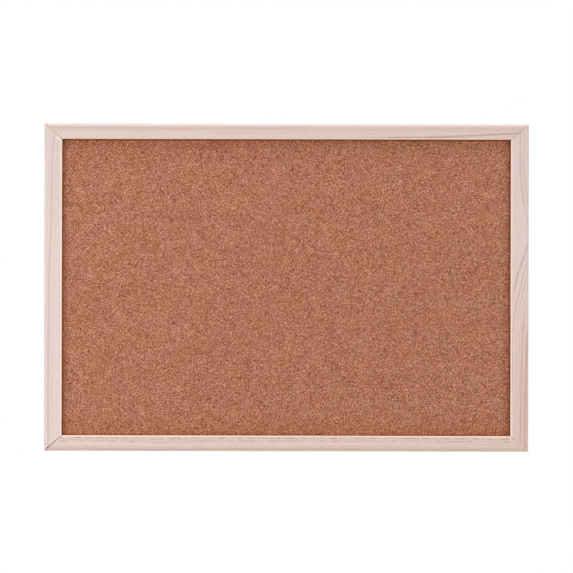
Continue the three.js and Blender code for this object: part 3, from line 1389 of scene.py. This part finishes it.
@dataclass
class PineFrame:
    """Four mitred mouldings, each the same outline swept along its side."""

    front_round: float = 4 * MM
    sight_round: float = 1.1 * MM
    back_ease: float = 0.8 * MM
    crown: float = 0.35 * MM
    lip: float = 5 * MM
    rebate: float = 6 * MM
    mean_face: float = 20.3 * MM
    tight_joint: float = 0.1 * MM
    open_joint: float = 0.72 * MM
    back_share: float = 0.05
    plane_mark: float = 0.06 * MM
    ripple: float = 14 * MM
    round_steps: int = 10
    run_steps: int = 90

    def build(self, finishes: Sequence[PineFinish], nails: CornerNails, repeat: Repeat) -> None:
        """Makes the four mouldings, with the nails' slits in their backs.

        Args:
            finishes: The finish of each moulding.
            nails: The nails across the mitres.
            repeat: The tree that sets out the slits.
        """
        tree = self._tree()
        outline = follow("moulding_outline", self._outline(), True)
        for finish in finishes:
            side = finish.side
            sizes = {
                "Outline": outline,
                "Half Run": run_length(side) / 2,
                "Half Rise": run_length(side.next) / 2,
                "Face": face_width(side),
                "Slope": face_width(side.next) / face_width(side),
                "Start Joint": self._joint(side, side is Side.BOTTOM),
                "End Joint": self._joint(side, side is Side.LEFT),
                "Back Share": self.back_share,
                "Depth": size_of(side.node).y,
                "Back": -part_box(side.node)[1].y,
                "Turn": side.turn,
                "Plane Mark": self.plane_mark,
                "Ripple": self.ripple,
                "Steps": self.run_steps,
            }
            pine = finish.material()
            piece = tree.make(f"{side.node}_moulding", pine, sizes)
            carve(piece, nails.slits(repeat, pine))
            install(piece, Body.BOARD, [side.node])
        drop(outline)

    def _joint(self, side: Side, is_open: bool) -> float:
        """How much shorter half a side is for its share of the gap at a mitre.

        Args:
            side: The side.
            is_open: Whether the joint there has opened a little.

        Returns:
            The length along the side.
        """
        gap = self.open_joint if is_open else self.tight_joint
        return gap / 2 * math.hypot(1, face_width(side.next) / face_width(side))

    def _outline(self) -> list[Vector]:
        """The moulding's outline, as shares of its face from the outer edge, and forward from its back.

        Returns:
            The points, in order round the outline.
        """
        low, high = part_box(Side.BOTTOM.node)
        edge = high.y - low.y - self.crown
        lip_back = edge - self.lip
        face = self.mean_face
        wall = face - self.rebate
        front = Vector((self.front_round, self.front_round))
        sight = Vector((self.sight_round, self.sight_round))
        ease = Vector((self.back_ease, self.back_ease))
        middle = Vector(((front.x + face - sight.x) / 2, edge))
        crown = Vector(((face - sight.x - front.x) / 2, self.crown))
        steps = self.round_steps
        points = [
            Vector((wall, 0)),
            Vector((wall, lip_back)),
            Vector((face, lip_back)),
            *arc(Vector((face, edge)) - sight, sight, 0, QUARTER, steps),
            *arc(middle, crown, 0, 2 * QUARTER, steps)[1:-1],
            *arc(Vector((front.x, edge - front.y)), front, QUARTER, 2 * QUARTER, steps),
            *arc(ease.copy(), ease, 2 * QUARTER, 3 * QUARTER, steps // 2),
        ]
        return [Vector((point.x / face, point.y)) for point in points]

    @staticmethod
    def _tree() -> ShapeTree:
        """Builds the tree that sweeps the outline along a side and trims it to the mitres.

        Returns:
            The tree.
        """
        tree = ShapeTree("mitred_moulding")
        outline = tree.object_shape("Outline")
        ends = {"Start": (-1, 0, 0), "End": (1, 0, 0)}
        line = tree.add("GeometryNodeCurvePrimitiveLine", inputs=ends)
        steps = {"Curve": line, "Count": tree.size("Steps", "Int")}
        line = tree.add("GeometryNodeResampleCurve", inputs=steps)
        sweep = {"Curve": line, "Profile Curve": outline, "Fill Caps": True}
        swept = tree.add("GeometryNodeCurveToMesh", inputs=sweep)

        run, share, forward = tree.place().parts()
        half_run, face = tree.size("Half Run"), tree.size("Face")
        ripple = tree.vector(run * half_run / tree.size("Ripple"), share, forward * PER_MM)
        mark = tree.noise(ripple, Noise(detail=1)) * tree.size("Plane Mark")
        across = -share * (face - mark * 2) + mark
        depth = -forward - mark * tree.step(-forward, (0, MM))
        start, end = tree.size("Start Joint"), tree.size("End Joint")
        closed = tree.size("Back Share")
        parted = closed - forward / tree.size("Depth") * (1 - closed)
        joint = (start + (end - start) * (run * HALF + HALF)) * parted
        along = run * (half_run - tree.size("Slope") * across - joint)
        spot = tree.vector(along, -depth - tree.size("Back"), across - tree.size("Half Rise"))
        turned = tree.add(
            "ShaderNodeVectorRotate",
            {"rotation_type": "Y_AXIS"},
            {"Vector": spot, "Angle": tree.size("Turn")},
        )
        tree.close(tree.add("GeometryNodeSetPosition", inputs={"Geometry": swept, "Position": turned}))
        return tree


@dataclass
class CorkPanel:
    """The panel: a cork sheet on a softboard core, with hardboard behind."""

    cell: float = 1.5 * MM
    grain: float = 2.6 * MM
    relief: float = 0.09 * MM
    doming: float = 0.5
    mean_height: float = 0.25
    hardboard: HardboardFinish = HardboardFinish()
    softboard: SoftboardFinish = SoftboardFinish()
    cork: CorkFinish = CorkFinish()

    def build(self) -> None:
        """Makes the cork sheet, and gives the two layers behind it their finishes."""
        sizes = {
            "Grain": self.grain,
            "Relief": self.relief,
            "Doming": self.doming,
            "Mean Height": self.mean_height,
        }
        sheet = self._tree().make("cork_sheet_granules", self.cork.material(), sizes, self._slab())
        install(sheet, Body.BOARD, ["cork_sheet"])
        dress("softboard_core", self.softboard.material())
        dress("hardboard_back", self.hardboard.material())

    def _slab(self) -> bpy.types.Mesh:
        """Makes the sheet with a fine grid on its front, marked where the grains may rise.

        Returns:
            The closed mesh.
        """
        low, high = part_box("cork_sheet")
        counts = [round((high[axis] - low[axis]) / self.cell) for axis in (0, 2)]
        slab = bmesh.new()
        turn = Matrix.Rotation(QUARTER, 4, "X")
        size = Matrix.Diagonal(((high.x - low.x) / 2, (high.z - low.z) / 2, 1, 1))
        stand = Matrix.Translation((0, low.y, (low.z + high.z) / 2))
        matrix = stand @ turn @ size
        bmesh.ops.create_grid(slab, x_segments=counts[0], y_segments=counts[1], size=1, matrix=matrix)
        front = slab.verts.layers.float.new("front")
        for vertex in slab.verts:
            vertex[front] = 0 if vertex.is_boundary else 1
        rim = self._rim(slab)
        back = [slab.verts.new((vertex.co.x, high.y, vertex.co.z)) for vertex in rim]
        for index, vertex in enumerate(rim):
            slab.faces.new((vertex, rim[index - 1], back[index - 1], back[index]))
        slab.faces.new(back)
        bmesh.ops.recalc_face_normals(slab, faces=slab.faces)
        mesh = bpy.data.meshes.new("cork_slab")
        slab.to_mesh(mesh)
        slab.free()
        return mesh

    @staticmethod
    def _rim(sheet: bmesh.types.BMesh) -> list[bmesh.types.BMVert]:
        """Walks once round the open edge of a sheet.

        Args:
            sheet: The sheet.

        Returns:
            The points on its edge, in order.
        """
        edge = next(edge for edge in sheet.edges if edge.is_boundary)
        vertex = edge.verts[0]
        rim = []
        while not rim or vertex != rim[0]:
            rim.append(vertex)
            edge = next(e for e in vertex.link_edges if e.is_boundary and e != edge)
            vertex = edge.other_vert(vertex)
        return rim

    @staticmethod
    def _tree() -> ShapeTree:
        """Builds the tree that raises and sinks the grains of the cork.

        Returns:
            The tree.
        """
        tree = ShapeTree("cork_grains")
        place = tree.place() / tree.size("Grain")
        inputs = {"Vector": place, "Scale": 1}
        cells = tree.add("ShaderNodeTexVoronoi", {"feature": "SMOOTH_F1"}, inputs, "Distance")
        height = cells.fellow("Color").parts()[0] - cells * tree.size("Doming")
        settings = {"data_type": "FLOAT"}
        front = tree.add("GeometryNodeInputNamedAttribute", settings, {"Name": "front"}, "Attribute")
        rise = (height - tree.size("Mean Height")) * tree.size("Relief") * front
        offset = tree.vector(0, -rise, 0)
        tree.close(tree.add("GeometryNodeSetPosition", inputs={"Geometry": tree.base, "Offset": offset}))
        return tree


@dataclass
class PanelPoints:
    """Flat steel points, driven into the rebate to hold the panel."""

    width: float = 6 * MM
    thickness: float = 0.5 * MM
    reach: float = 7.5 * MM
    bite: float = 5.5 * MM
    tip_width: float = 2.6 * MM
    taper: float = 3.2 * MM
    edge: float = 0.07 * MM
    edge_steps: int = 2
    slant: float = math.radians(1.5)
    slant_pace: tuple[int, int] = (3, 5)
    counts: tuple[int, int] = (4, 3)

    def build(self, repeat: Repeat, finish: bpy.types.Material) -> None:
        """Makes all the points, each a little aslant as a hand-held driver leaves it.

        Args:
            repeat: The tree that sets out copies.
            finish: Their material.
        """
        turns = {}
        next_point, next_side = self.slant_pace
        for side in Side:
            for number in range(1, self.counts[side.upright] + 1):
                slant = self.slant * math.sin(next_point * number + next_side * side.value)
                turns[f"panel_point_{side.name.lower()}_{number}"] = Euler((0, side.turn + slant, 0))
        points = repeat.set_out("panel_points", self._blank(), turns, finish)
        install(points, Body.BOARD, list(turns))

    def _blank(self) -> bpy.types.Object:
        """Makes one point with its tip down.

        Returns:
            The point's object.
        """
        half, tip = self.width / 2, self.tip_width / 2
        right = [
            Vector((tip, -self.bite)),
            Vector((half, self.taper - self.bite)),
            Vector((half, self.reach)),
        ]
        outline = right + [Vector((-point.x, point.y)) for point in reversed(right)]
        levels = (0, -self.thickness)
        blank = skin("panel_point", [[Vector((p.x, y, p.y)) for p in outline] for y in levels])
        bevel = blank.modifiers.new("edge", "BEVEL")
        bevel.width = self.edge
        bevel.segments = self.edge_steps
        settle(blank)
        return blank


@dataclass
class Screw:
    """A pan-head wood screw with a cross recess."""

    length: float = 12 * MM
    shank: float = 1.3 * MM
    core: float = 0.95 * MM
    pitch: float = 1.1 * MM
    crest_slope: float = 3
    tip: float = 2.6 * MM
    point: float = 0.06 * MM
    neck: float = 1.2 * MM
    head: float = 2.7 * MM
    rim: float = 0.8 * MM
    height: float = 1.7 * MM
    recess_reach: float = 1.5 * MM
    recess_width: float = 0.7 * MM
    recess_depth: float = 1 * MM
    recess_taper: float = 0.6
    sides: int = 28
    rings_per_pitch: int = 6
    head_steps: int = 8

    def build(self) -> bpy.types.Object:
        """Makes one screw along Y, with its head at +Y.

        Returns:
            The screw's object.
        """
        angles = [TURN * side / self.sides for side in range(self.sides)]
        steps = math.ceil((self.length - self.neck) / self.pitch * self.rings_per_pitch)
        rings = []
        for step in range(steps + 1):
            y = -self.length + (self.length - self.neck) * step / steps
            radii = [self._thread(y, angle) for angle in angles]
            rings.append([Vector((r * math.cos(a), y, r * math.sin(a))) for r, a in zip(radii, angles)])
        radii = Vector((self.head, self.height - self.rim))
        dome = arc(Vector((0, self.rim)), radii, 0, QUARTER, self.head_steps)
        dome[-1].x = self.point
        profile = [Vector((self.core, 0)), Vector((self.head, 0)), *dome]
        for r, y in profile:
            rings.append([Vector((r * math.cos(a), y, r * math.sin(a))) for a in angles])
        screw = skin("screw", rings)
        carve(screw, self._recess())
        return screw

    def _thread(self, y: float, angle: float) -> float:
        """How far the thread reaches out.

        Args:
            y: The place along the screw.
            angle: The angle round it.

        Returns:
            The radius there.
        """
        phase = (y / self.pitch - angle / TURN) % 1
        ridge = max(0, 1 - self.crest_slope * abs(phase - HALF))
        radius = self.core + (self.shank - self.core) * ridge
        return self.point + (radius - self.point) * min(1, (y + self.length) / self.tip)

    def _recess(self) -> bpy.types.Object:
        """Makes the cross that is cut into the head, narrower at its bottom.

        Returns:
            The cross's object.
        """
        half = self.recess_width / 2
        arm = [(half, -half), (self.recess_reach, -half), (self.recess_reach, half)]
        turns = [Matrix.Rotation(QUARTER * number, 2) for number in range(4)]
        outline = [turn @ Vector(corner) for turn in turns for corner in arm]
        floor, top = self.height - self.recess_depth, self.height + self.recess_depth
        levels = ((floor, self.recess_taper), (self.height, 1), (top, 1))
        rings = [[Vector((p.x * share, y, p.y * share)) for p in outline] for y, share in levels]
        return skin("recess", rings)


@dataclass
class RingHangers:
    """Two strap hangers, each a strap rolled round a swinging ring and held by two screws."""

    width: float = 9 * MM
    thickness: float = 1 * MM
    length: float = 36 * MM
    corner: float = 0.2 * MM
    corner_steps: int = 3
    roll_start: float = math.pi
    roll_end: float = math.radians(-115.8)
    roll_steps: int = 30
    end_steps: int = 9
    hole: float = 1.6 * MM
    hole_sides: int = 32
    wire: float = 1 * MM
    wire_steps: int = 18
    side_gap: float = 0.5 * MM
    leg: float = 7 * MM
    bend: float = 2 * MM
    bend_steps: int = 6
    bow_steps: int = 18
    split: float = 0.4 * MM
    first_turn: float = 0.3
    next_turn: float = 0.9
    screw: Screw = field(default_factory=Screw)

    def build(self, repeat: Repeat, steel: bpy.types.Material, nickel: bpy.types.Material) -> None:
        """Makes the straps, the screws and the rings.

        Args:
            repeat: The tree that sets out copies.
            steel: The screws' material.
            nickel: The material of straps and rings.
        """
        straps = {f"{hand}_hanger_strap": Euler() for hand in HANDS}
        piece = repeat.set_out("hanger_straps", self._strap(), straps, nickel)
        install(piece, Body.BOARD, list(straps))
        screws = {}
        for number, (hand, level) in enumerate(itertools.product(HANDS, LEVELS)):
            turn = self.first_turn + self.next_turn * number
            screws[f"{hand}_hanger_{level}_screw"] = Euler((0, turn, 0))
        piece = repeat.set_out("hanger_screws", self.screw.build(), screws, steel)
        install(piece, Body.BOARD, list(screws))
        tree = self._tree()
        for hand, body in zip(HANDS, (Body.LEFT_RING, Body.RIGHT_RING)):
            line = follow("ring_line", self._ring_line(body), False)
            sizes = {"Line": line, "Wire": self.wire, "Wire Steps": self.wire_steps}
            piece = tree.make(f"{hand}_hanger_ring_wire", nickel, sizes)
            drop(line)
            install(piece, body, [f"{hand}_hanger_ring"])

    def _strap(self) -> bpy.types.Object:
        """Makes one strap from its rounded lower end to the tip of the roll.

        Returns:
            The strap's object, with its screw holes.
        """
        low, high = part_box("left_hanger_strap")
        bore = (high.y - low.y) / 2 - self.thickness
        half, radius = self.width / 2, bore + self.thickness / 2
        rows = []
        for step in range(1, self.end_steps + 1):
            angle = QUARTER * step / self.end_steps
            rise = half * (1 - math.cos(angle)) - self.length
            rows.append((Vector((-radius, rise)), Vector((-1, 0)), half * math.sin(angle)))
        for step in range(self.roll_steps + 1):
            angle = self.roll_start + (self.roll_end - self.roll_start) * step / self.roll_steps
            out = Vector((math.cos(angle), math.sin(angle)))
            rows.append((out * radius, out, half))
        strap = skin("strap", [self._strap_ring(*row) for row in rows])
        pin = joint_place(Body.LEFT_RING)
        ends = [Vector((self.hole, y)) for y in (-self.length, self.length)]
        for level in LEVELS:
            rise = middle_of(f"left_hanger_{level}_screw").z - pin.z
            rod = lathe("hole", ends, self.hole_sides)
            rod.data.transform(Matrix.Translation((0, 0, rise)))
            carve(strap, rod)
        return strap

    def _strap_ring(self, spot: Vector, out: Vector, half: float) -> list[Vector]:
        """The outline across the strap at one place.

        Args:
            spot: The middle of the strap there, as Y and Z from the ring's pin.
            out: The direction through its thickness.
            half: Half its width there.

        Returns:
            The outline's points.
        """
        thick, corner = self.thickness / 2, min(self.corner, half / 2)
        points = []
        for number, (x, y) in enumerate(((1, 1), (-1, 1), (-1, -1), (1, -1))):
            middle = Vector((x * (half - corner), y * (thick - corner)))
            start = QUARTER * number
            points += arc(middle, Vector((corner, corner)), start, start + QUARTER, self.corner_steps)
        return [Vector((p.x, *(spot + out * p.y))) for p in points]

    def _ring_line(self, body: Body) -> list[Vector]:
        """The middle of a ring's wire, from one cut end inside the roll round to the other.

        Args:
            body: The ring's body.

        Returns:
            The points, in place.
        """
        half = self.width / 2 + self.side_gap + self.wire
        bend = Vector((self.bend, self.bend))
        right = [
            Vector((self.split / 2, 0)),
            *arc(Vector((half - self.bend, -self.bend)), bend, QUARTER, 0, self.bend_steps),
            *arc(Vector((0, -self.leg)), Vector((half, half)), 0, -QUARTER, self.bow_steps),
        ]
        left = [Vector((-point.x, point.y)) for point in reversed(right[:-1])]
        pin = joint_place(body)
        return [pin + Vector((point.x, 0, point.y)) for point in right + left]

    @staticmethod
    def _tree() -> ShapeTree:
        """Builds the tree that draws round wire along a line.

        Returns:
            The tree.
        """
        tree = ShapeTree("bent_wire")
        circle = {"Radius": tree.size("Wire"), "Resolution": tree.size("Wire Steps", "Int")}
        section = tree.add("GeometryNodeCurvePrimitiveCircle", inputs=circle, output="Curve")
        line = {"Curve": tree.object_shape("Line"), "Profile Curve": section, "Fill Caps": True}
        tree.close(tree.add("GeometryNodeCurveToMesh", inputs=line))
        return tree


@dataclass
class Bumpers:
    """Two round rubber bumpers at the lower corners of the back."""

    face_share: float = 0.89
    edge: float = 0.6 * MM
    edge_steps: int = 6
    foot: float = 0.3 * MM
    foot_steps: int = 3
    sides: int = 48
    finish: RubberFinish = RubberFinish()

    def build(self, repeat: Repeat) -> None:
        """Makes both bumpers.

        Args:
            repeat: The tree that sets out copies.
        """
        turns = {f"{hand}_bumper": Euler() for hand in HANDS}
        size = size_of("left_bumper")
        radius, height = size.z / 2, size.y
        edge = Vector((self.edge, self.edge))
        face = radius * self.face_share
        foot = Vector((self.foot, self.foot))
        profile = [
            *arc(Vector((radius - foot.x, foot.y)), foot, -QUARTER, 0, self.foot_steps),
            *arc(Vector((face, height)) - edge, edge, 0, QUARTER, self.edge_steps),
        ]
        pad = lathe("bumper", profile, self.sides)
        pads = repeat.set_out("wall_bumpers", pad, turns, self.finish.material())
        install(pads, Body.BOARD, list(turns))


@dataclass(frozen=True)
class Lamp:
    """A square soft lamp that shines at the middle of the board."""

    name: str
    place: Triple
    width: float
    power: float

    def hang(self) -> None:
        """Adds the lamp to the scene."""
        light = bpy.data.lights.new(self.name, "AREA")
        light.size = self.width
        light.energy = self.power
        lamp = new_object(self.name, light)
        lamp.location = self.place
        lamp.rotation_euler = (-Vector(self.place)).to_track_quat("-Z", "Y").to_euler()
        lamp.visible_camera = False


@dataclass
class Studio:
    """A white room with soft light, a pale floor and a camera straight in front of the board."""

    picture: float = 573
    outline_pixels: float = 484.4
    middle_pixels: Span = (286.4, 287.6)
    outline_depth: float = 4 * MM
    camera_distance: float = 2.0
    camera_roll: float = math.radians(-0.13)
    sensor: float = 36
    floor_drop: float = 1.0
    floor_radius: float = 3.4
    floor_sides: int = 64
    floor_tone: Colour = tone(228, 228, 228)
    floor_glow: float = 0.62
    ambient: float = 0.32
    ambient_slope: float = 0.05
    lamps: tuple[Lamp, ...] = (
        Lamp("top_lamp", (0.0, -0.75, 2.3), 1.2, 29),
        Lamp("left_lamp", (-1.34, -0.87, 0.05), 0.7, 10.6),
        Lamp("right_lamp", (2.0, -1.3, 0.25), 1.0, 17.5),
        Lamp("back_lamp", (0.8, 2.2, 1.4), 1.6, 34),
    )

    def build(self) -> None:
        """Sets up the camera, the light and the floor."""
        scene = bpy.context.scene
        scene.view_settings.view_transform = "Standard"
        self._camera()
        self._world()
        self._floor()
        for lamp in self.lamps:
            lamp.hang()

    def _camera(self) -> None:
        """Places the camera so that the board fills as much of the picture as in the photograph."""
        low, high = cad_box
        pixel = (high.x - low.x) / self.outline_pixels
        data = bpy.data.cameras.new("camera")
        data.sensor_width = self.sensor
        reach = self.camera_distance + self.outline_depth
        data.lens = self.sensor * reach / (self.picture * pixel)
        camera = new_object("camera", data)
        across = (self.picture / 2 - self.middle_pixels[0]) * pixel
        up = (self.middle_pixels[1] - self.picture / 2) * pixel
        camera.location = (across, low.y - self.camera_distance, up)
        camera.rotation_euler = Euler((QUARTER, self.camera_roll, 0))
        bpy.context.scene.camera = camera

    @staticmethod
    def _seen(graph: Graph) -> Wire:
        """Whether a ray comes from the camera or off something shiny or clear.

        Args:
            graph: The tree that asks.

        Returns:
            One for such a ray, and else zero.
        """
        rays = graph.add("ShaderNodeLightPath", output="Is Camera Ray")
        shiny = graph.reckon("MAXIMUM", rays, rays.fellow("Is Glossy Ray"))
        return graph.reckon("MAXIMUM", shiny, rays.fellow("Is Transmission Ray"))

    def _world(self) -> None:
        """Makes the room: white where it is seen, and brighter above than below where it lights."""
        world = bpy.data.worlds.new("studio")
        world.use_nodes = True
        bpy.context.scene.world = world
        graph = Graph(world.node_tree)
        graph.tree.nodes.clear()
        height = graph.add("ShaderNodeTexCoord", output="Generated").parts()[2]
        seen = self._seen(graph)
        light = height * self.ambient_slope + self.ambient
        strength = seen + (1 - seen) * light
        room = graph.add("ShaderNodeBackground", inputs={"Color": WHITE, "Strength": strength})
        graph.add("ShaderNodeOutputWorld", inputs={"Surface": room})

    def _floor(self) -> None:
        """Makes the pale floor, far enough below to stay out of the picture."""
        disc = bmesh.new()
        below = Matrix.Translation((0, 0, -self.floor_drop))
        sizes = {"segments": self.floor_sides, "radius": self.floor_radius}
        bmesh.ops.create_circle(disc, cap_ends=True, matrix=below, **sizes)
        mesh = bpy.data.meshes.new("floor")
        disc.to_mesh(mesh)
        disc.free()
        floor = new_object("floor", mesh)
        surface = Surface("pale_floor")
        seen = self._seen(surface)
        pale = surface.add("ShaderNodeBsdfDiffuse", inputs={"Color": self.floor_tone})
        strength = seen * self.floor_glow
        glow = surface.add("ShaderNodeEmission", inputs={"Color": WHITE, "Strength": strength})
        both = surface.add("ShaderNodeAddShader", inputs={0: pale, 1: glow})
        surface.add("ShaderNodeOutputMaterial", inputs={"Surface": both})
        mesh.materials.append(surface.material)


def pine_finishes() -> list[PineFinish]:
    """Gives each moulding the lines of its own stick of pine.

    Returns:
        The finishes, in the order of the sides.
    """
    bottom = PineFinish(
        side=Side.BOTTOM,
        seed=11,
        pale=tone(231, 208, 199),
        ring_gap=2.5,
        ring_strength=0.75,
        drift=((0, 0.2), (0.16, 0.2), (0.24, 1), (0.32, 0.3), (0.7, 0.2), (0.85, 0.3), (1, 0.6)),
        drift_reach=2.4,
        streaks=(
            Streak(3.6, 0.9, (0.91, 0.81, 0.76), broken=0.3),
            # A pale streak of painted light along the middle of the face, not a growth ring
            Streak(9.8, 2.2, (1.06, 1.1, 1.125)),
            Streak(13.0, 0.9, (0.84, 0.73, 0.69), broken=0.95),
            Streak(16.8, 1.0, (0.78, 0.64, 0.57), broken=1),
            Streak(9.9, 0.7, (0.88, 0.78, 0.74), (0.82, 1.02), 0.5),
        ),
        # Painted light that lifts the lower rail's shaded outer rim
        rim=(1.05, 1.03, 1.03),
        shoulder=(1.0, 0.99, 0.985),
        foot=(0.97, 1.0, 0.995),
        arris=tone(249, 219, 207),
    )
    left = PineFinish(
        side=Side.LEFT,
        seed=37,
        pale=tone(232, 216, 211),
        ring_gap=3.1,
        ring_strength=0.3,
        drift=(
            (0, 1),
            (0.33, 1),
            (0.53, 0.94),
            (0.62, 0.68),
            (0.77, 0.58),
            (0.87, 0.55),
            (0.94, 0.35),
            (1, -0.1),
        ),
        drift_reach=8.3,
        heart=62,
        head=(0.965, 0.965, 0.965),
        streaks=(
            Streak(13.8, 1.0, (0.88, 0.79, 0.78)),
            Streak(18.5, 1.3, (0.96, 0.94, 0.93)),
        ),
        rim=(0.98, 1.0, 1.02),
        shoulder=(0.99, 0.97, 0.965),
        flecks=0.85,
    )
    top = PineFinish(
        side=Side.TOP,
        seed=59,
        pale=tone(231, 212, 206),
        ring_gap=2.7,
        ring_strength=0.5,
        drift=((0, 0.28), (0.25, 0.1), (0.5, 0), (0.73, 0.02), (0.82, 0.2), (0.9, 0.52), (1, 1.1)),
        drift_reach=6,
        heart=59.4,
        foot=(0.975, 1.0, 1.0),
        head=(0.97, 0.98, 0.985),
        streaks=(
            Streak(6.1, 0.9, (0.95, 0.91, 0.89), (-0.2, 0.55)),
            Streak(16.9, 1.15, (0.72, 0.57, 0.52), (0.66, 1.2), 0.25),
            Streak(7.2, 0.8, (0.94, 0.88, 0.86), (0.2, 0.37)),
            Streak(12.0, 1.3, (0.96, 0.93, 0.92), (0.3, 0.8)),
        ),
        # A painted highlight on the top rail's outer rim, under the light from above
        rim=(1.06, 1.11, 1.14),
        arris=tone(239, 206, 191),
    )
    right = PineFinish(
        side=Side.RIGHT,
        seed=83,
        pale=tone(234, 213, 208),
        ring_gap=7.9,
        ring_strength=1.0,
        drift=(
            (0, 0.01),
            (0.21, 0.04),
            (0.36, 0.12),
            (0.43, 0.19),
            (0.475, 0.3),
            (0.56, 0.58),
            (0.63, 0.96),
            (0.66, 1.03),
            (0.69, 1),
            (0.73, 0.86),
            (0.79, 0.7),
            (0.85, 0.62),
        ),
        drift_reach=28,
        heart=36.4,
        ring_spread=1.5,
        vigour=((0, 0.55), (0.34, 0.55), (0.45, 0.78), (0.6, 0.78), (0.68, 0.5), (0.8, 0.3), (1, 0.3)),
        streaks=(
            Streak(6.4, 3.2, (0.985, 0.925, 0.865), (-0.2, 0.4)),
            Streak(4.9, 1.8, (0.84, 0.785, 0.765), (-0.2, 0.42)),
            Streak(10.6, 1.0, (0.85, 0.77, 0.74), (-0.2, 0.45)),
            Streak(28.4, 0.8, (0.9, 0.86, 0.845), (0.7, 1.2)),
            Streak(24.1, 0.9, (0.89, 0.84, 0.82), (0.7, 1.2)),
        ),
        foot=(1.005, 0.965, 0.93),
        head=(0.97, 0.975, 0.975),
        late=(0.73, 0.64, 0.6),
        shoulder=(1.0, 1.01, 1.02),
    )
    return [bottom, left, top, right]


def main() -> None:
    """Builds the studio and the board's pieces, in order."""
    Studio().build()
    repeat = Repeat()
    zinc, nickel = ZINC.material(), NICKEL.material()
    nails = CornerNails()
    PineFrame().build(pine_finishes(), nails, repeat)
    nails.build(repeat, zinc)
    CorkPanel().build()
    PanelPoints().build(repeat, zinc)
    RingHangers().build(repeat, zinc, nickel)
    Bumpers().build(repeat)


if __name__ == "__main__":
    logging.basicConfig(level=logging.INFO, format="%(message)s")
    main()
